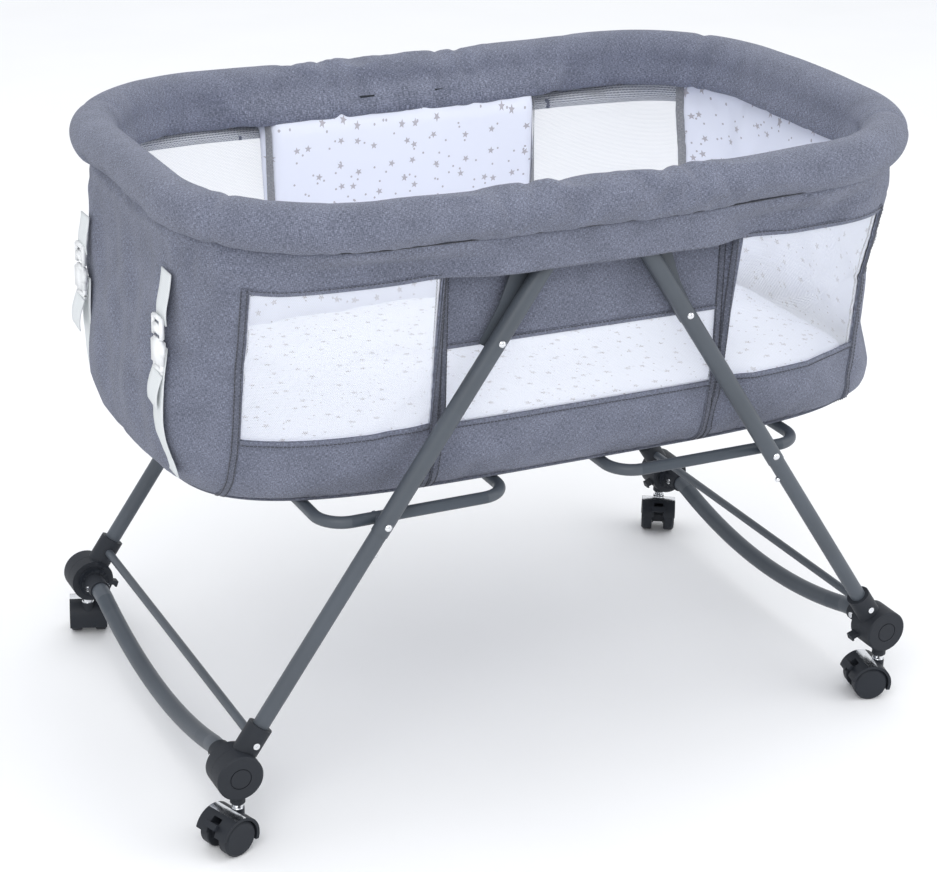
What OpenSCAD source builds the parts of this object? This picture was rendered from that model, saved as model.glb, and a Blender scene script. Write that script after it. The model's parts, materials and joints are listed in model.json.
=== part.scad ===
// Bassinet on a folding stand with rocker bars and casters.
// +X runs along the basket, -Y is the front, +Z is up, and the strapped end is at -X.
// The origin is on the floor, under the middle of the object.

/* [Rim] */
// Height of the rim tube's centreline at the middle
rim_z = 652; // [646:1:658]
// Half length of the rim, to the tube's centreline
rim_half_l = 408; // [402:1:412]
// Half width of the rim, to the tube's centreline
rim_half_w = 262; // [261:0.5:263]
// Corner radius of the rim tube
rim_corner_r = 165; // [150:5:180]
// Diameter of the padded sleeve over the rim
pad_d = 53; // [50:1:55]
// Distance of the rim hinges from the middle
hinge_x = 88; // [86:1:92]
// How far the left half of the rim rises towards its end, in degrees
left_rise = 0.5; // [0:0.1:3]
// How far the right half of the rim rises towards its end, in degrees
right_rise = 2.5; // [0:0.1:3]

/* [Legs] */
// Outer diameter of the rim and upper leg tubes
tube_d = 19; // [18.5:0.1:19.5]
// Outer diameter of the lower leg tubes
lower_tube_d = 17.6; // [17.4:0.1:18]
// Distance of the leg planes from the middle
leg_y = 241; // [240.5:0.5:241.5]
// Distance of the leg pivots from the middle, along the basket
leg_pivot_x = 48; // [46:1:50]
// Height of the leg pivots
leg_pivot_z = 600; // [598:1:602]
// Distance of the foot hubs from the middle, along the basket
hub_x = 400; // [396:1:404]
// Height of the foot hubs
hub_z = 82; // [80:1:84]
// Distance down the leg to the upper rivet
upper_rivet_s = 110.6; // [105:0.1:115]
// Distance down the leg to the lower rivet
lower_rivet_s = 329.2; // [320:0.1:335]

/* [Rocker bars and hoops] */
// Diameter of the rocker tubes
rocker_d = 20; // [18:0.5:21]
// How far the rocker bars bow below the hubs
rocker_drop = 27; // [24:1:34]
// Diameter of the straight braces
brace_d = 9.5; // [8:0.5:10]
// Diameter of the hoops under the basket
hoop_d = 13; // [12:0.5:13]

/* [Casters] */
// Diameter of the caster wheels
wheel_d = 40; // [39:0.5:41]
// Distance from the swivel to the wheel axle
trail = 14; // [12:1:15]

/* [Basket] */
// Half length that the rings of the basket wall are measured from
basket_half_l = 416; // [412:1:418]
// Half width of the basket wall at its top
basket_half_w = 247; // [245:1:248]
// Height of the mattress top
mattress_top = 405; // [395:1:410]
// How far the basket's floor has slid towards the plain end
floor_slide = 22; // [0:1:23]

/* [Hidden] */
$fn = 48;

LEFT = -1;
RIGHT = 1;
FRONT = -1;
BACK = 1;

// Directions that the four casters trail in, in degrees from +X.
TRAIL_FL = 200;
TRAIL_FR = 165;
TRAIL_BL = 72;
TRAIL_BR = 240;

steel = "#3f4854";
plastic = "#2b2f36";
cloth = "#6a6f7b";
print_cloth = "#eef0f6";
bright = "#c9ccd0";
webbing = "#dde1e2";

// Leg geometry: the leg axis runs from its pivot to the foot hub.
leg_dx = hub_x - leg_pivot_x;
leg_dz = leg_pivot_z - hub_z;
leg_len = sqrt(leg_dx * leg_dx + leg_dz * leg_dz);
leg_lean = atan2(leg_dx, leg_dz);
leg_top_s = 20;
joint_s = lower_rivet_s + 11;
sleeve_top_s = leg_len - 53.8;
leg_in_sleeve = 27.6;
tube_wall = 1.2;
slide_gap = 0.07;
spigot_r = lower_tube_d / 2 - tube_wall - slide_gap;
button_s = joint_s + 22;
button_r = 3;
rivet_r = 2.5;
pin_gap = 0.05;

// Layers across the leg planes, as distances from the middle.
hanger_y = 225.5;
hanger_t = 3;
bracket_y = leg_y - tube_d / 2 - 2.4;
bracket_t = 2.4;
hoop_y = 221.5;

// Rim hinges.
rail_pin_r = 3;
leg_pin_r = 4;
cheek_y = tube_d / 2 + 0.7;
cheek_t = 2.8;
housing_r = 12;
tongue = 12;
tube_gap = 20;
pad_bore_r = tube_d / 2 + 0.5;
hinge_bore_r = 19;
pad_gap = 0.4;

// Foot hubs.
hub_r = 25;
hub_in_y = 227;
hub_split_y = 243;
drum_y = 243.3;
hub_out_y = 263;
sleeve_r = 13.5;
socket_r = 12;
socket_in_y = 199;
stem_y = 252;
stem_r = 4;
boss_bottom_z = hub_z - 32;
tab_angle = 20;
tab_w = 10;
tab_t = 5;
tab_gap = 0.3;
tab_floor_r = 15.5;
tab_out_r = hub_r + 9;

// Casters.
wheel_r = wheel_d / 2;
wheel_w = 13.5;
fork_w = 44;
core_half = 7.7;
hood_r = wheel_r + 4.3;
axle_r = 3;
lever_at = 40;
lever_pin_d = 21;
lever_half = 5.9;

flap_gap = 0.6;

// Basket: rings of [height, half length, half width, roundness, slide along X], from the
// bottom up. A roundness of 2 is an ellipse, and a higher one is closer to a rectangle.
wall_t = 2.5;
lining_gap = 1;
lining_t = 1.5;
basket_bottom = 334.5;
basket_top = rim_z - pad_d / 2 - 2;
ring_points = 48;
middle_half = 166;
middle_face_y = 222.5;
step_z = 436;
panel_z = 438.5;
// An inner layer steps in a little wider than the layer outside it.
step_grow = 0.4;
window_out_x = 366;
window_in_x = 174;
side_window_z = [421, 583];
middle_window_z = [417.5, 500];
middle_window_half = 160;
flap_y = 255.5;
flap_bottom = 584;
strap_y = 122;
strap_w = 20;
strap_t = 2;
strap_gap = 1.4;

function basket_rings(inset) = [
    [basket_bottom + inset, basket_half_l - 15 - inset, 180 - inset, 3.8, floor_slide],
    [basket_bottom + 5 + inset, basket_half_l + 2 - inset, 194 - inset, 3.8, floor_slide],
    [352 + inset / 2, basket_half_l + 13 - inset, 205 - inset, 3.8, floor_slide],
    [372, basket_half_l + 22 - inset, 212.5 - inset, 3.8, 0.65 * floor_slide],
    [405, basket_half_l + 19.5 - inset, 219 - inset, 3.9, 0.2 * floor_slide],
    [430, basket_half_l + 14 - inset, 222 - inset, 4.1, 0],
    [500, basket_half_l + 1.5 - inset, 230 - inset, 4.6, -2.5],
    [580, basket_half_l - 7 - inset, 241 - inset, 6, 0],
    [basket_top, basket_half_l - 7 - inset, basket_half_w - inset, 6, 0]
];

// Height added at x by the rise of the rim halves.
function rim_lift(x) = max(0, abs(x) - hinge_x) * tan(x < 0 ? left_rise : right_rise);
function signed_power(v, p) = sign(v) * pow(abs(v), p);

// One closed ring of the basket's outline; the top ring follows the rim's rise.
function oval(z, a, b, n, slide, lifted) = [
    for (i = [0:ring_points - 1])
        let (t = 360 * (i + 0.5) / ring_points,
             x = slide + a * signed_power(cos(t), 2 / n),
             y = b * signed_power(sin(t), 2 / n))
            [x, y, z + (lifted ? rim_lift(x) : 0)]
];
function reversed(list) = [for (i = [len(list) - 1:-1:0]) list[i]];
function ring_outline(r) = oval(r[0], r[1], r[2], r[3], r[4], r[0] >= basket_top);

// A closed solid through a run of rings, capped at both ends.
module loft(rings) {
    n = ring_points;
    last = (len(rings) - 1) * n;
    sides = [
        for (k = [0:len(rings) - 2], i = [0:n - 1])
            let (j = (i + 1) % n, a = k * n, b = (k + 1) * n)
                each [[a + i, b + i, a + j], [a + j, b + i, b + j]]
    ];
    bottom = [[for (i = [0:n - 1]) i]];
    top = [[for (i = [n - 1:-1:0]) last + i]];
    polyhedron(points = [for (r = rings) each ring_outline(r)], faces = concat(bottom, sides, top));
}

// A tub: outside rings up, then inside rings down.
module tub(outside, inside) {
    loft(concat(outside, reversed(inside)));
}

// A block between two corners, mirrored to the front and the back.
module both_sides() {
    for (sy = [FRONT, BACK]) scale_y(sy) children();
}

module scale_y(sy) {
    mirror([0, sy < 0 ? 1 : 0, 0]) children();
}

module block(x, y, z) {
    translate([x[0], y[0], z[0]]) cube([x[1] - x[0], y[1] - y[0], z[1] - z[0]]);
}

// A cylinder along Y from y0 to y1.
module bar_y(r, y0, y1) {
    translate([0, y0, 0]) rotate([-90, 0, 0]) cylinder(r = r, h = y1 - y0);
}

// A cylinder along X from x0 to x1.
module bar_x(r, x0, x1) {
    translate([x0, 0, 0]) rotate([0, 90, 0]) cylinder(r = r, h = x1 - x0);
}

// Moves to the hinge line of one half of the rim, with +X running outward.
module at_rail(side) {
    mirror([side < 0 ? 1 : 0, 0, 0])
        translate([hinge_x, 0, rim_z])
            rotate([0, side < 0 ? -left_rise : -right_rise, 0])
                children();
}

// Moves to one foot, on the floor under its hub, with +X outward and +Y away from the middle.
module at_foot(side, face) {
    mirror([side < 0 ? 1 : 0, 0, 0])
        mirror([0, face < 0 ? 1 : 0, 0])
            translate([hub_x, 0, 0])
                children();
}

// Moves along a leg by s from its pivot: +Z runs down the leg, +X towards its underside.
module at_leg(side, face, s) {
    mirror([side < 0 ? 1 : 0, 0, 0])
        mirror([0, face < 0 ? 1 : 0, 0])
            translate([leg_pivot_x, leg_y, leg_pivot_z])
                rotate([0, 180 - leg_lean, 0])
                    translate([0, 0, s])
                        children();
}

// A U of tube in the XY plane, from x0 out to the end of the rim.
module rail_u(r, x0) {
    reach = rim_half_l - hinge_x;
    straight = reach - rim_corner_r;
    side = rim_half_w - rim_corner_r;
    both_sides() translate([0, rim_half_w, 0]) bar_x(r, x0, straight);
    both_sides() translate([straight, side, 0])
        rotate_extrude(angle = 90) translate([rim_corner_r, 0]) circle(r = r);
    translate([reach, 0, 0]) bar_y(r, -side, side);
}

module rail_tube(side) {
    color(steel) at_rail(side) difference() {
        rail_u(tube_d / 2, -tongue);
        rail_u(tube_d / 2 - tube_wall, -tongue - 1);
        bar_y(rail_pin_r + pin_gap, -rim_half_w - 30, rim_half_w + 30);
    }
}

module rail_pad(side) {
    rise = side < 0 ? left_rise : right_rise;
    start = pad_gap + pad_d / 2 * tan(rise);
    color(cloth) at_rail(side) difference() {
        rail_u(pad_d / 2, start);
        rail_u(pad_bore_r, 0);
        both_sides() translate([0, rim_half_w, 0]) bar_x(hinge_bore_r, -1, tube_gap);
    }
}

module centre_rail_tubes() {
    end = hinge_x - tube_gap;
    color(steel) both_sides() translate([0, rim_half_w, rim_z]) difference() {
        bar_x(tube_d / 2, -end, end);
        bar_x(tube_d / 2 - tube_wall, -end - 1, end + 1);
    }
}

module centre_pads() {
    open_from = 30;
    color(cloth) both_sides() difference() {
        translate([0, rim_half_w, rim_z]) bar_x(pad_d / 2, pad_gap - hinge_x, hinge_x - pad_gap);
        translate([0, rim_half_w, rim_z]) bar_x(pad_bore_r, -hinge_x, hinge_x);
        for (side = [LEFT, RIGHT]) mirror([side < 0 ? 1 : 0, 0, 0]) {
            translate([0, rim_half_w, rim_z]) bar_x(hinge_bore_r, open_from, hinge_x + 1);
            block([open_from, 62], [hanger_y - 2, rim_half_w], [rim_z - 40, rim_z]);
        }
    }
}

// A housing grips the centre tube, carries the rail pin in two cheeks, and hangs the leg pivot.
module hinge_housing() {
    body_in = 45;
    body_out = hinge_x - tube_gap + 3;
    difference() {
        union() {
            block([body_in, body_out - 3], [rim_half_w - 13, rim_half_w + 13], [rim_z - 12, rim_z + 12]);
            for (y = [rim_half_w - cheek_y - cheek_t, rim_half_w + cheek_y]) {
                block([body_out - 3, hinge_x], [y, y + cheek_t], [rim_z - housing_r, rim_z + housing_r]);
                translate([hinge_x, 0, rim_z]) bar_y(housing_r, y, y + cheek_t);
            }
            block([leg_pivot_x - 9, leg_pivot_x + 9], [hanger_y, rim_half_w - 10], [rim_z - 18, rim_z - 10]);
            block([leg_pivot_x - 9, leg_pivot_x + 9], [hanger_y, hanger_y + hanger_t],
                  [leg_pivot_z, rim_z - 10]);
            translate([leg_pivot_x, 0, leg_pivot_z]) bar_y(9, hanger_y, hanger_y + hanger_t);
        }
        translate([0, rim_half_w, rim_z]) bar_x(tube_d / 2, 0, hinge_x - tube_gap);
        translate([hinge_x, 0, rim_z]) bar_y(rail_pin_r, rim_half_w - 30, rim_half_w + 30);
        translate([leg_pivot_x, 0, leg_pivot_z]) bar_y(leg_pin_r, hanger_y - 1, hanger_y + 5);
    }
}

module hinge_housings() {
    color(plastic) for (side = [LEFT, RIGHT]) mirror([side < 0 ? 1 : 0, 0, 0])
        both_sides() hinge_housing();
}

module pivot_pins() {
    pin_end = cheek_y + cheek_t;
    color(bright) for (side = [LEFT, RIGHT]) mirror([side < 0 ? 1 : 0, 0, 0]) both_sides() {
        translate([hinge_x, rim_half_w, rim_z]) {
            bar_y(rail_pin_r, -pin_end, pin_end);
            bar_y(rail_pin_r + 1.5, pin_end, pin_end + 1);
        }
        translate([leg_pivot_x, 0, leg_pivot_z]) {
            bar_y(leg_pin_r + 2, hanger_y - 1, hanger_y);
            bar_y(leg_pin_r, hanger_y, bracket_y + bracket_t + 0.5);
            bar_y(leg_pin_r + 2, bracket_y + bracket_t + 0.5, bracket_y + bracket_t + 2);
        }
    }
}

module upper_legs(side) {
    color(steel) for (face = [FRONT, BACK]) at_leg(side, face, 0) difference() {
        translate([0, 0, leg_top_s]) cylinder(d = tube_d, h = joint_s - leg_top_s);
        translate([0, 0, leg_top_s + 2])
            cylinder(r = tube_d / 2 - tube_wall, h = joint_s - leg_top_s);
        for (s = [upper_rivet_s, lower_rivet_s])
            translate([0, 0, s]) bar_y(rivet_r, -tube_d, tube_d);
    }
}

// A pressed plate behind each upper leg, from the upper rivet to the leg pivot, flared outward.
module leg_brackets(side) {
    flare = 27;
    half = tube_d / 2;
    eye_r = 11;
    color(steel) for (face = [FRONT, BACK]) at_leg(side, face, 0)
        translate([0, bracket_y - leg_y, 0]) difference() {
            union() {
                rotate([-90, 0, 0]) linear_extrude(bracket_t)
                    polygon([[eye_r - 3, 8], [half - 2, -upper_rivet_s - 12],
                             [-half - 2, -upper_rivet_s - 12],
                             [-half - 6, -80], [-flare + 4, -50], [-flare, -28], [-flare + 6, -6],
                             [-eye_r + 1, 8]]);
                bar_y(eye_r, 0, bracket_t);
            }
            bar_y(leg_pin_r + pin_gap, -1, bracket_t + 1);
            translate([0, 0, upper_rivet_s]) bar_y(rivet_r, -1, bracket_t + 1);
        }
}

// A stepped plug fixed inside the upper tube that the lower tube slides over.
module spigots(side) {
    upper_r = tube_d / 2 - tube_wall;
    color(bright) for (face = [FRONT, BACK]) at_leg(side, face, 0) difference() {
        union() {
            translate([0, 0, joint_s - 42]) cylinder(r = upper_r, h = 42);
            translate([0, 0, joint_s]) cylinder(r = spigot_r, h = 60);
        }
        translate([0, 0, lower_rivet_s]) bar_y(rivet_r, -tube_d, tube_d);
        translate([0, 0, button_s]) bar_x(button_r + 0.1, -1, tube_d);
    }
}

// Domed rivets: the upper ones hold the brackets, the lower ones carry the hoops.
module rivets(side) {
    dome_r = 4;
    outer = tube_d / 2;
    color(bright) for (face = [FRONT, BACK]) {
        at_leg(side, face, upper_rivet_s) {
            bar_y(rivet_r, bracket_y - leg_y - 1, outer + 0.2);
            bar_y(dome_r, bracket_y - leg_y - 1.2, bracket_y - leg_y);
            translate([0, outer - 0.6, 0]) rivet_dome(dome_r);
        }
        at_leg(side, face, lower_rivet_s) {
            bar_y(rivet_r, hoop_y - leg_y - hoop_d / 2 - 0.6, outer + 0.2);
            bar_y(dome_r, hoop_y - leg_y - hoop_d / 2 - 1.8, hoop_y - leg_y - hoop_d / 2 - 0.4);
            translate([0, outer - 0.6, 0]) rivet_dome(dome_r);
        }
    }
}

// A dome that stands on the tube, with its underside cut to the tube's round.
module rivet_dome(r) {
    difference() {
        intersection() {
            translate([0, -1.4, 0]) sphere(r = r + 0.6);
            bar_y(r, 0, 6);
        }
        translate([0, 0.6 - tube_d / 2, -10]) cylinder(d = tube_d, h = 20);
    }
}

// A rounded rectangle of tube under the basket, pinned to a leg at the front and the back.
module hoop(side, x_in, x_out) {
    corner = 30;
    r = hoop_d / 2;
    pin_x = leg_pivot_x + lower_rivet_s * sin(leg_lean);
    z = leg_pivot_z - lower_rivet_s * cos(leg_lean);
    color(steel) mirror([side < 0 ? 1 : 0, 0, 0]) translate([0, 0, z]) difference() {
        union() {
            both_sides() {
                translate([0, hoop_y, 0]) bar_x(r, x_in + corner, x_out - corner);
                translate([x_out - corner, hoop_y - corner, 0])
                    rotate_extrude(angle = 90) translate([corner, 0]) circle(r = r);
                translate([x_in + corner, hoop_y - corner, 0])
                    rotate_extrude(angle = 90, start = 90) translate([corner, 0]) circle(r = r);
                translate([pin_x, 0, 0]) bar_y(5, hoop_y, leg_y - tube_d / 2 - 0.3);
            }
            for (x = [x_in, x_out])
                translate([x, 0, 0]) bar_y(r, corner - hoop_y, hoop_y - corner);
        }
        translate([pin_x, 0, 0]) both_sides() bar_y(rivet_r + pin_gap, hoop_y - 20, hoop_y + 20);
    }
}

module lower_legs(side) {
    color(steel) for (face = [FRONT, BACK]) at_leg(side, face, 0) difference() {
        translate([0, 0, joint_s]) cylinder(d = lower_tube_d, h = sleeve_top_s + leg_in_sleeve - joint_s);
        translate([0, 0, joint_s - 1])
            cylinder(r = lower_tube_d / 2 - tube_wall, h = sleeve_top_s + leg_in_sleeve - joint_s - 1);
        translate([0, 0, button_s]) bar_x(button_r + 0.3, 0, tube_d);
        translate([0, 0, sleeve_top_s + 18]) bar_y(2, 0, tube_d);
    }
}

// Each foot casting: leg sleeve, inner half of the hub, and the socket of the rocker bar.
module foot_castings(side) {
    color(plastic) for (face = [FRONT, BACK]) difference() {
        union() {
            difference() {
                at_leg(side, face, sleeve_top_s) cylinder(r = sleeve_r, h = 45);
                at_foot(side, face) translate([0, 0, hub_z]) bar_y(hub_r + 0.3, hub_split_y, 270);
            }
            at_foot(side, face) translate([0, 0, hub_z]) {
                bar_y(hub_r, hub_in_y, hub_split_y);
                bar_y(18, hub_in_y - 5, hub_in_y);
                bar_y(socket_r, socket_in_y, hub_in_y);
            }
        }
        at_leg(side, face, sleeve_top_s - 1) cylinder(d = lower_tube_d, h = leg_in_sleeve + 1);
        at_leg(side, face, sleeve_top_s + 18) bar_y(2, 0, 30);
        at_foot(side, face) translate([0, 0, hub_z]) {
            bar_y(rocker_d / 2, socket_in_y - 1, hub_in_y);
            translate([0, socket_in_y + 10, 0]) bar_x(1.8, -20, 20);
            rotate([0, -tab_angle, 0]) translate([-hub_r - 2, hub_split_y - tab_w - 2, 0])
                block([0, hub_r + 2 - tab_floor_r], [-tab_gap, tab_w + tab_gap],
                      [-tab_t / 2 - tab_gap, tab_t / 2 + tab_gap]);
            bar_y(6, hub_split_y - 8, hub_split_y + 1);
        }
    }
}

// Straight ends in the sockets, two short bends and one long arc.
module rocker(side) {
    end_y = socket_in_y + 1;
    run = end_y;
    bend = 2 * atan(rocker_drop / run);
    small_r = 80;
    big_r = run / sin(bend) - small_r;
    low_z = hub_z - rocker_drop;
    // The low arc runs a little way into the end bends, and is a shade thinner, so it stays inside them.
    overlap = 0.05;
    inset = 0.05;
    r = rocker_d / 2;
    color(steel) at_foot(side, BACK) difference() {
        union() {
            translate([0, 0, low_z + big_r]) rotate([90, 0, 90])
                rotate_extrude(angle = 2 * (bend + overlap), start = 270 - bend - overlap, $fn = 192)
                    translate([big_r, 0]) circle(r = r - inset, $fn = 48);
            both_sides() {
                translate([0, end_y, hub_z - small_r]) rotate([90, 0, 90])
                    rotate_extrude(angle = bend, start = 90)
                        translate([small_r, 0]) circle(r = r);
                translate([0, 0, hub_z]) bar_y(r, end_y, hub_in_y);
            }
        }
        both_sides() translate([0, socket_in_y + 10, hub_z]) bar_x(1.8, -20, 20);
    }
}

module brace(side) {
    s = sleeve_top_s + 15;
    x = leg_pivot_x + s * sin(leg_lean);
    z = leg_pivot_z - s * cos(leg_lean);
    color(steel) difference() {
        translate([side * x, 0, z]) bar_y(brace_d / 2, -leg_y + 9, leg_y - 9);
        for (face = [FRONT, BACK]) at_leg(side, face, sleeve_top_s - 1) cylinder(r = sleeve_r, h = 47);
    }
}

// A pan-head screw in each leg sleeve, and a through bolt with a nut in each rocker socket.
module foot_screws(side) {
    color(bright) for (face = [FRONT, BACK]) {
        at_leg(side, face, sleeve_top_s + 18) {
            bar_y(2, lower_tube_d / 2 - 4, sleeve_r + 0.2);
            difference() {
                bar_y(3.6, sleeve_r - 0.5, sleeve_r + 1.6);
                bar_y(1.2, sleeve_r + 0.8, sleeve_r + 2);
                translate([0, 0, -10]) cylinder(r = sleeve_r, h = 20);
            }
        }
        at_foot(side, face) translate([0, socket_in_y + 10, hub_z]) difference() {
            union() {
                bar_x(1.8, -socket_r - 1, socket_r + 1);
                bar_x(3.4, -socket_r - 1.6, -socket_r + 1);
                bar_x(3.4, socket_r - 1, socket_r + 1.6);
            }
            difference() {
                bar_y(socket_r, -12, 12);
                bar_x(1.8, -20, 20);
            }
        }
    }
}

// The turning outer half of a hub, with the caster's socket under it.
module hub_drum(side, face) {
    cap_r = 11;
    edge = 1.6;
    color(plastic) at_foot(side, face) difference() {
        union() {
            translate([0, drum_y, hub_z]) rotate([-90, 0, 0]) rotate_extrude()
                polygon([[0, 0], [hub_r, 0], [hub_r, hub_out_y - drum_y - edge],
                         [hub_r - edge, hub_out_y - drum_y], [0, hub_out_y - drum_y]]);
            translate([0, 0, hub_z]) bar_y(5.9, hub_split_y - 7, drum_y + 1);
            translate([0, stem_y, boss_bottom_z]) cylinder(r = 8, h = 12);
        }
        translate([0, 0, hub_z]) difference() {
            bar_y(cap_r + 0.6, hub_out_y - 1, hub_out_y + 1);
            bar_y(cap_r - 0.3, hub_out_y - 2, hub_out_y + 2);
        }
        translate([0, stem_y, boss_bottom_z - 1]) cylinder(r = stem_r + pin_gap, h = 19);
    }
}

// A sprung tab that frees the drum to turn.
module release_tab(side, face) {
    color(plastic) at_foot(side, face) translate([0, 0, hub_z]) rotate([0, -tab_angle, 0]) {
        block([-tab_out_r, -tab_floor_r - 3.5], [hub_split_y - tab_w - 2, hub_split_y - 2],
              [-tab_t / 2, tab_t / 2]);
        translate([-tab_out_r, hub_split_y - tab_w - 2, -tab_t / 2 - 2])
            cube([2.4, tab_w, 3]);
    }
}

// Moves to a caster: on the floor under its swivel, with +X in its trailing direction.
module at_caster(side, face, direction) {
    translate([side * hub_x, face * stem_y, 0]) rotate([0, 0, direction]) children();
}

// The hood, the core between the wheels, the brake's ears and the steel stem with its ring.
module caster_fork(side, face, direction) {
    ear_in = lever_half + 0.2;
    stem_bottom = wheel_r + 4;
    stem_top = boss_bottom_z + 17;
    color(plastic) at_caster(side, face, direction) difference() {
        union() {
            intersection() {
                translate([trail, 0, wheel_r]) difference() {
                    bar_y(hood_r, -fork_w / 2, fork_w / 2);
                    bar_y(wheel_r + 0.9, -fork_w, fork_w);
                }
                translate([trail, 0, wheel_r]) union() {
                    block([-40, 40], [-30, 30], [6, 40]);
                    block([-40, -12], [-30, 30], [-8, 40]);
                }
            }
            translate([trail, 0, wheel_r]) intersection() {
                bar_y(hood_r - 1, -core_half, core_half);
                block([-40, 14], [-30, 30], [-6, 40]);
            }
            translate([trail, 0, wheel_r]) bar_y(9, -core_half, core_half);
            translate([0, 0, wheel_r]) cylinder(r = 7, h = boss_bottom_z - wheel_r - 6);
        }
        translate([trail, 0, wheel_r]) {
            bar_y(axle_r + pin_gap, -fork_w, fork_w);
            for (y = [-fork_w / 2 - 1, core_half])
                bar_y(wheel_r + 0.9, y, y + fork_w / 2 - core_half + 1);
            rotate([0, -lever_at, 0]) {
                block([10, 40], [-ear_in, ear_in], [-9, 9]);
                translate([lever_pin_d - 4, 0, 0]) bar_y(1.55, -core_half - 1, core_half + 1);
            }
            block([10, 40], [-ear_in, ear_in], [-20, 12]);
        }
        translate([0, 0, stem_bottom]) cylinder(r = stem_r, h = boss_bottom_z);
    }
    color(bright) at_caster(side, face, direction) {
        translate([0, 0, stem_bottom]) cylinder(r = stem_r, h = stem_top - stem_bottom);
        translate([0, 0, boss_bottom_z - 6]) cylinder(r = 6, h = 4);
    }
}

module caster_wheels(side, face, direction) {
    edge = 2.5;
    color(plastic) at_caster(side, face, direction) translate([trail, 0, wheel_r]) {
        both_sides() translate([0, core_half + 0.4, 0]) rotate([-90, 0, 0])
            rotate_extrude() polygon([[0, 0], [wheel_r - 1, 0], [wheel_r, 1], [wheel_r, wheel_w - edge],
                                      [wheel_r - edge, wheel_w], [0, wheel_w]]);
        bar_y(axle_r, -core_half - 0.4, core_half + 0.4);
    }
}

// A foot pedal on a pin between the fork's ears.
module brake_lever(side, face, direction) {
    color(plastic) at_caster(side, face, direction) translate([trail, 0, wheel_r])
        rotate([0, -lever_at, 0]) translate([lever_pin_d - 4, 0, 0]) {
            bar_y(3, -lever_half, lever_half);
            bar_y(1.5, -core_half, core_half);
            block([0, 12], [-4.5, 4.5], [-2.4, 1]);
            block([9.5, 13], [-lever_half - 3, lever_half + 3], [-4.5, 2]);
        }
}

// A spring-loaded button in the spigot that locks the lower tube.
module snap_button(side, face) {
    color(bright) at_leg(side, face, button_s) {
        bar_x(button_r, 2, lower_tube_d / 2 + 0.6);
        translate([lower_tube_d / 2 + 0.6, 0, 0]) intersection() {
            sphere(r = button_r);
            bar_x(button_r, 0, 5);
        }
    }
}

module windows_cut(grow) {
    through = [100, 300];
    both_sides() {
        for (side = [LEFT, RIGHT]) mirror([side < 0 ? 1 : 0, 0, 0])
            block([window_in_x - grow, window_out_x + grow], through,
                  [side_window_z[0] - grow, side_window_z[1] + grow]);
        block([-middle_window_half - grow, middle_window_half + grow], through,
              [middle_window_z[0] - grow, middle_window_z[1] + grow]);
    }
}

// A tub whose long walls step in at the middle, behind the legs.
module stepped_tub(inset, thick) {
    face = middle_face_y - inset;
    half = middle_half + step_grow * inset;
    difference() {
        tub(basket_rings(inset), basket_rings(inset + thick));
        both_sides() block([-half, half], [face, 300], [step_z, 700]);
    }
    both_sides() block([-half - 1, half + 1], [face - thick, face],
                       [panel_z, basket_top - 8]);
}

module outer_cover() {
    color(cloth) difference() {
        stepped_tub(0, wall_t);
        windows_cut(0);
    }
}

module mesh_windows() {
    color("white", 0.5) intersection() {
        stepped_tub(0.7, 1);
        windows_cut(-0.4);
    }
}

module liner() {
    inset = wall_t + lining_gap;
    color(print_cloth) difference() {
        stepped_tub(inset, lining_t);
        windows_cut(4);
        block([-500, 500], [-300, 300], [300, 349]);
    }
}

module leg_flaps() {
    color(cloth) both_sides()
        block([-middle_half + 2, middle_half - 2], [flap_y, flap_y + 2],
              [flap_bottom, rim_z - pad_d / 2 - flap_gap]);
}

module base_board() {
    half_l = basket_half_l - 28;
    half_w = 174;
    color("#8b6b4a")
        loft([for (z = [338.5, 345.5]) [z, half_l, half_w, 3.8, floor_slide]]);
}

module mattress() {
    a = basket_half_l - 6;
    slide = 0.7 * floor_slide;
    color(print_cloth) loft([[346, a - 14, 184, 3.8, slide], [352, a - 8, 192, 3.8, slide],
                             [mattress_top - 8, a, 203, 3.9, slide], [mattress_top, a - 8, 195, 3.9, slide]]);
}

// How far out the end wall is at a height, at the straps' inner edge.
function end_wall_x(z) =
    let (y = strap_y - strap_w / 2)
        lookup(z, [for (r = basket_rings(0)) [r[0], r[1] * pow(1 - pow(y / r[2], r[3]), 1 / r[3]) - r[4]]]);

// Two upright webbing straps at the left end, from the upper wall to its foot.
module end_straps() {
    heights = [362, 372, 405, 430, 500, 580, 588];
    near = [for (z = heights) [-end_wall_x(z) - strap_gap, z]];
    far = [for (z = heights) [-end_wall_x(z) - strap_gap - strap_t, z]];
    color(webbing) both_sides()
        translate([0, strap_y + strap_w / 2, 0]) rotate([90, 0, 0])
            linear_extrude(strap_w) polygon(concat(near, reversed(far)));
}

module strap_buckles() {
    z = 470;
    low = z - 22;
    x = -end_wall_x(low) - strap_gap - strap_t - 0.3;
    color("white") both_sides() difference() {
        union() {
            block([x - 7, x], [strap_y - 14, strap_y + 14], [low, z + 22]);
            block([x - 6, x - 1], [strap_y - 11, strap_y + 11], [z + 22, z + 42]);
        }
        block([x - 8, x + 1], [strap_y - 10.5, strap_y + 10.5], [z + 34, z + 38]);
        block([x - 8, x + 1], [strap_y - 10.5, strap_y + 10.5], [z - 18, z - 14]);
    }
}

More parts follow.
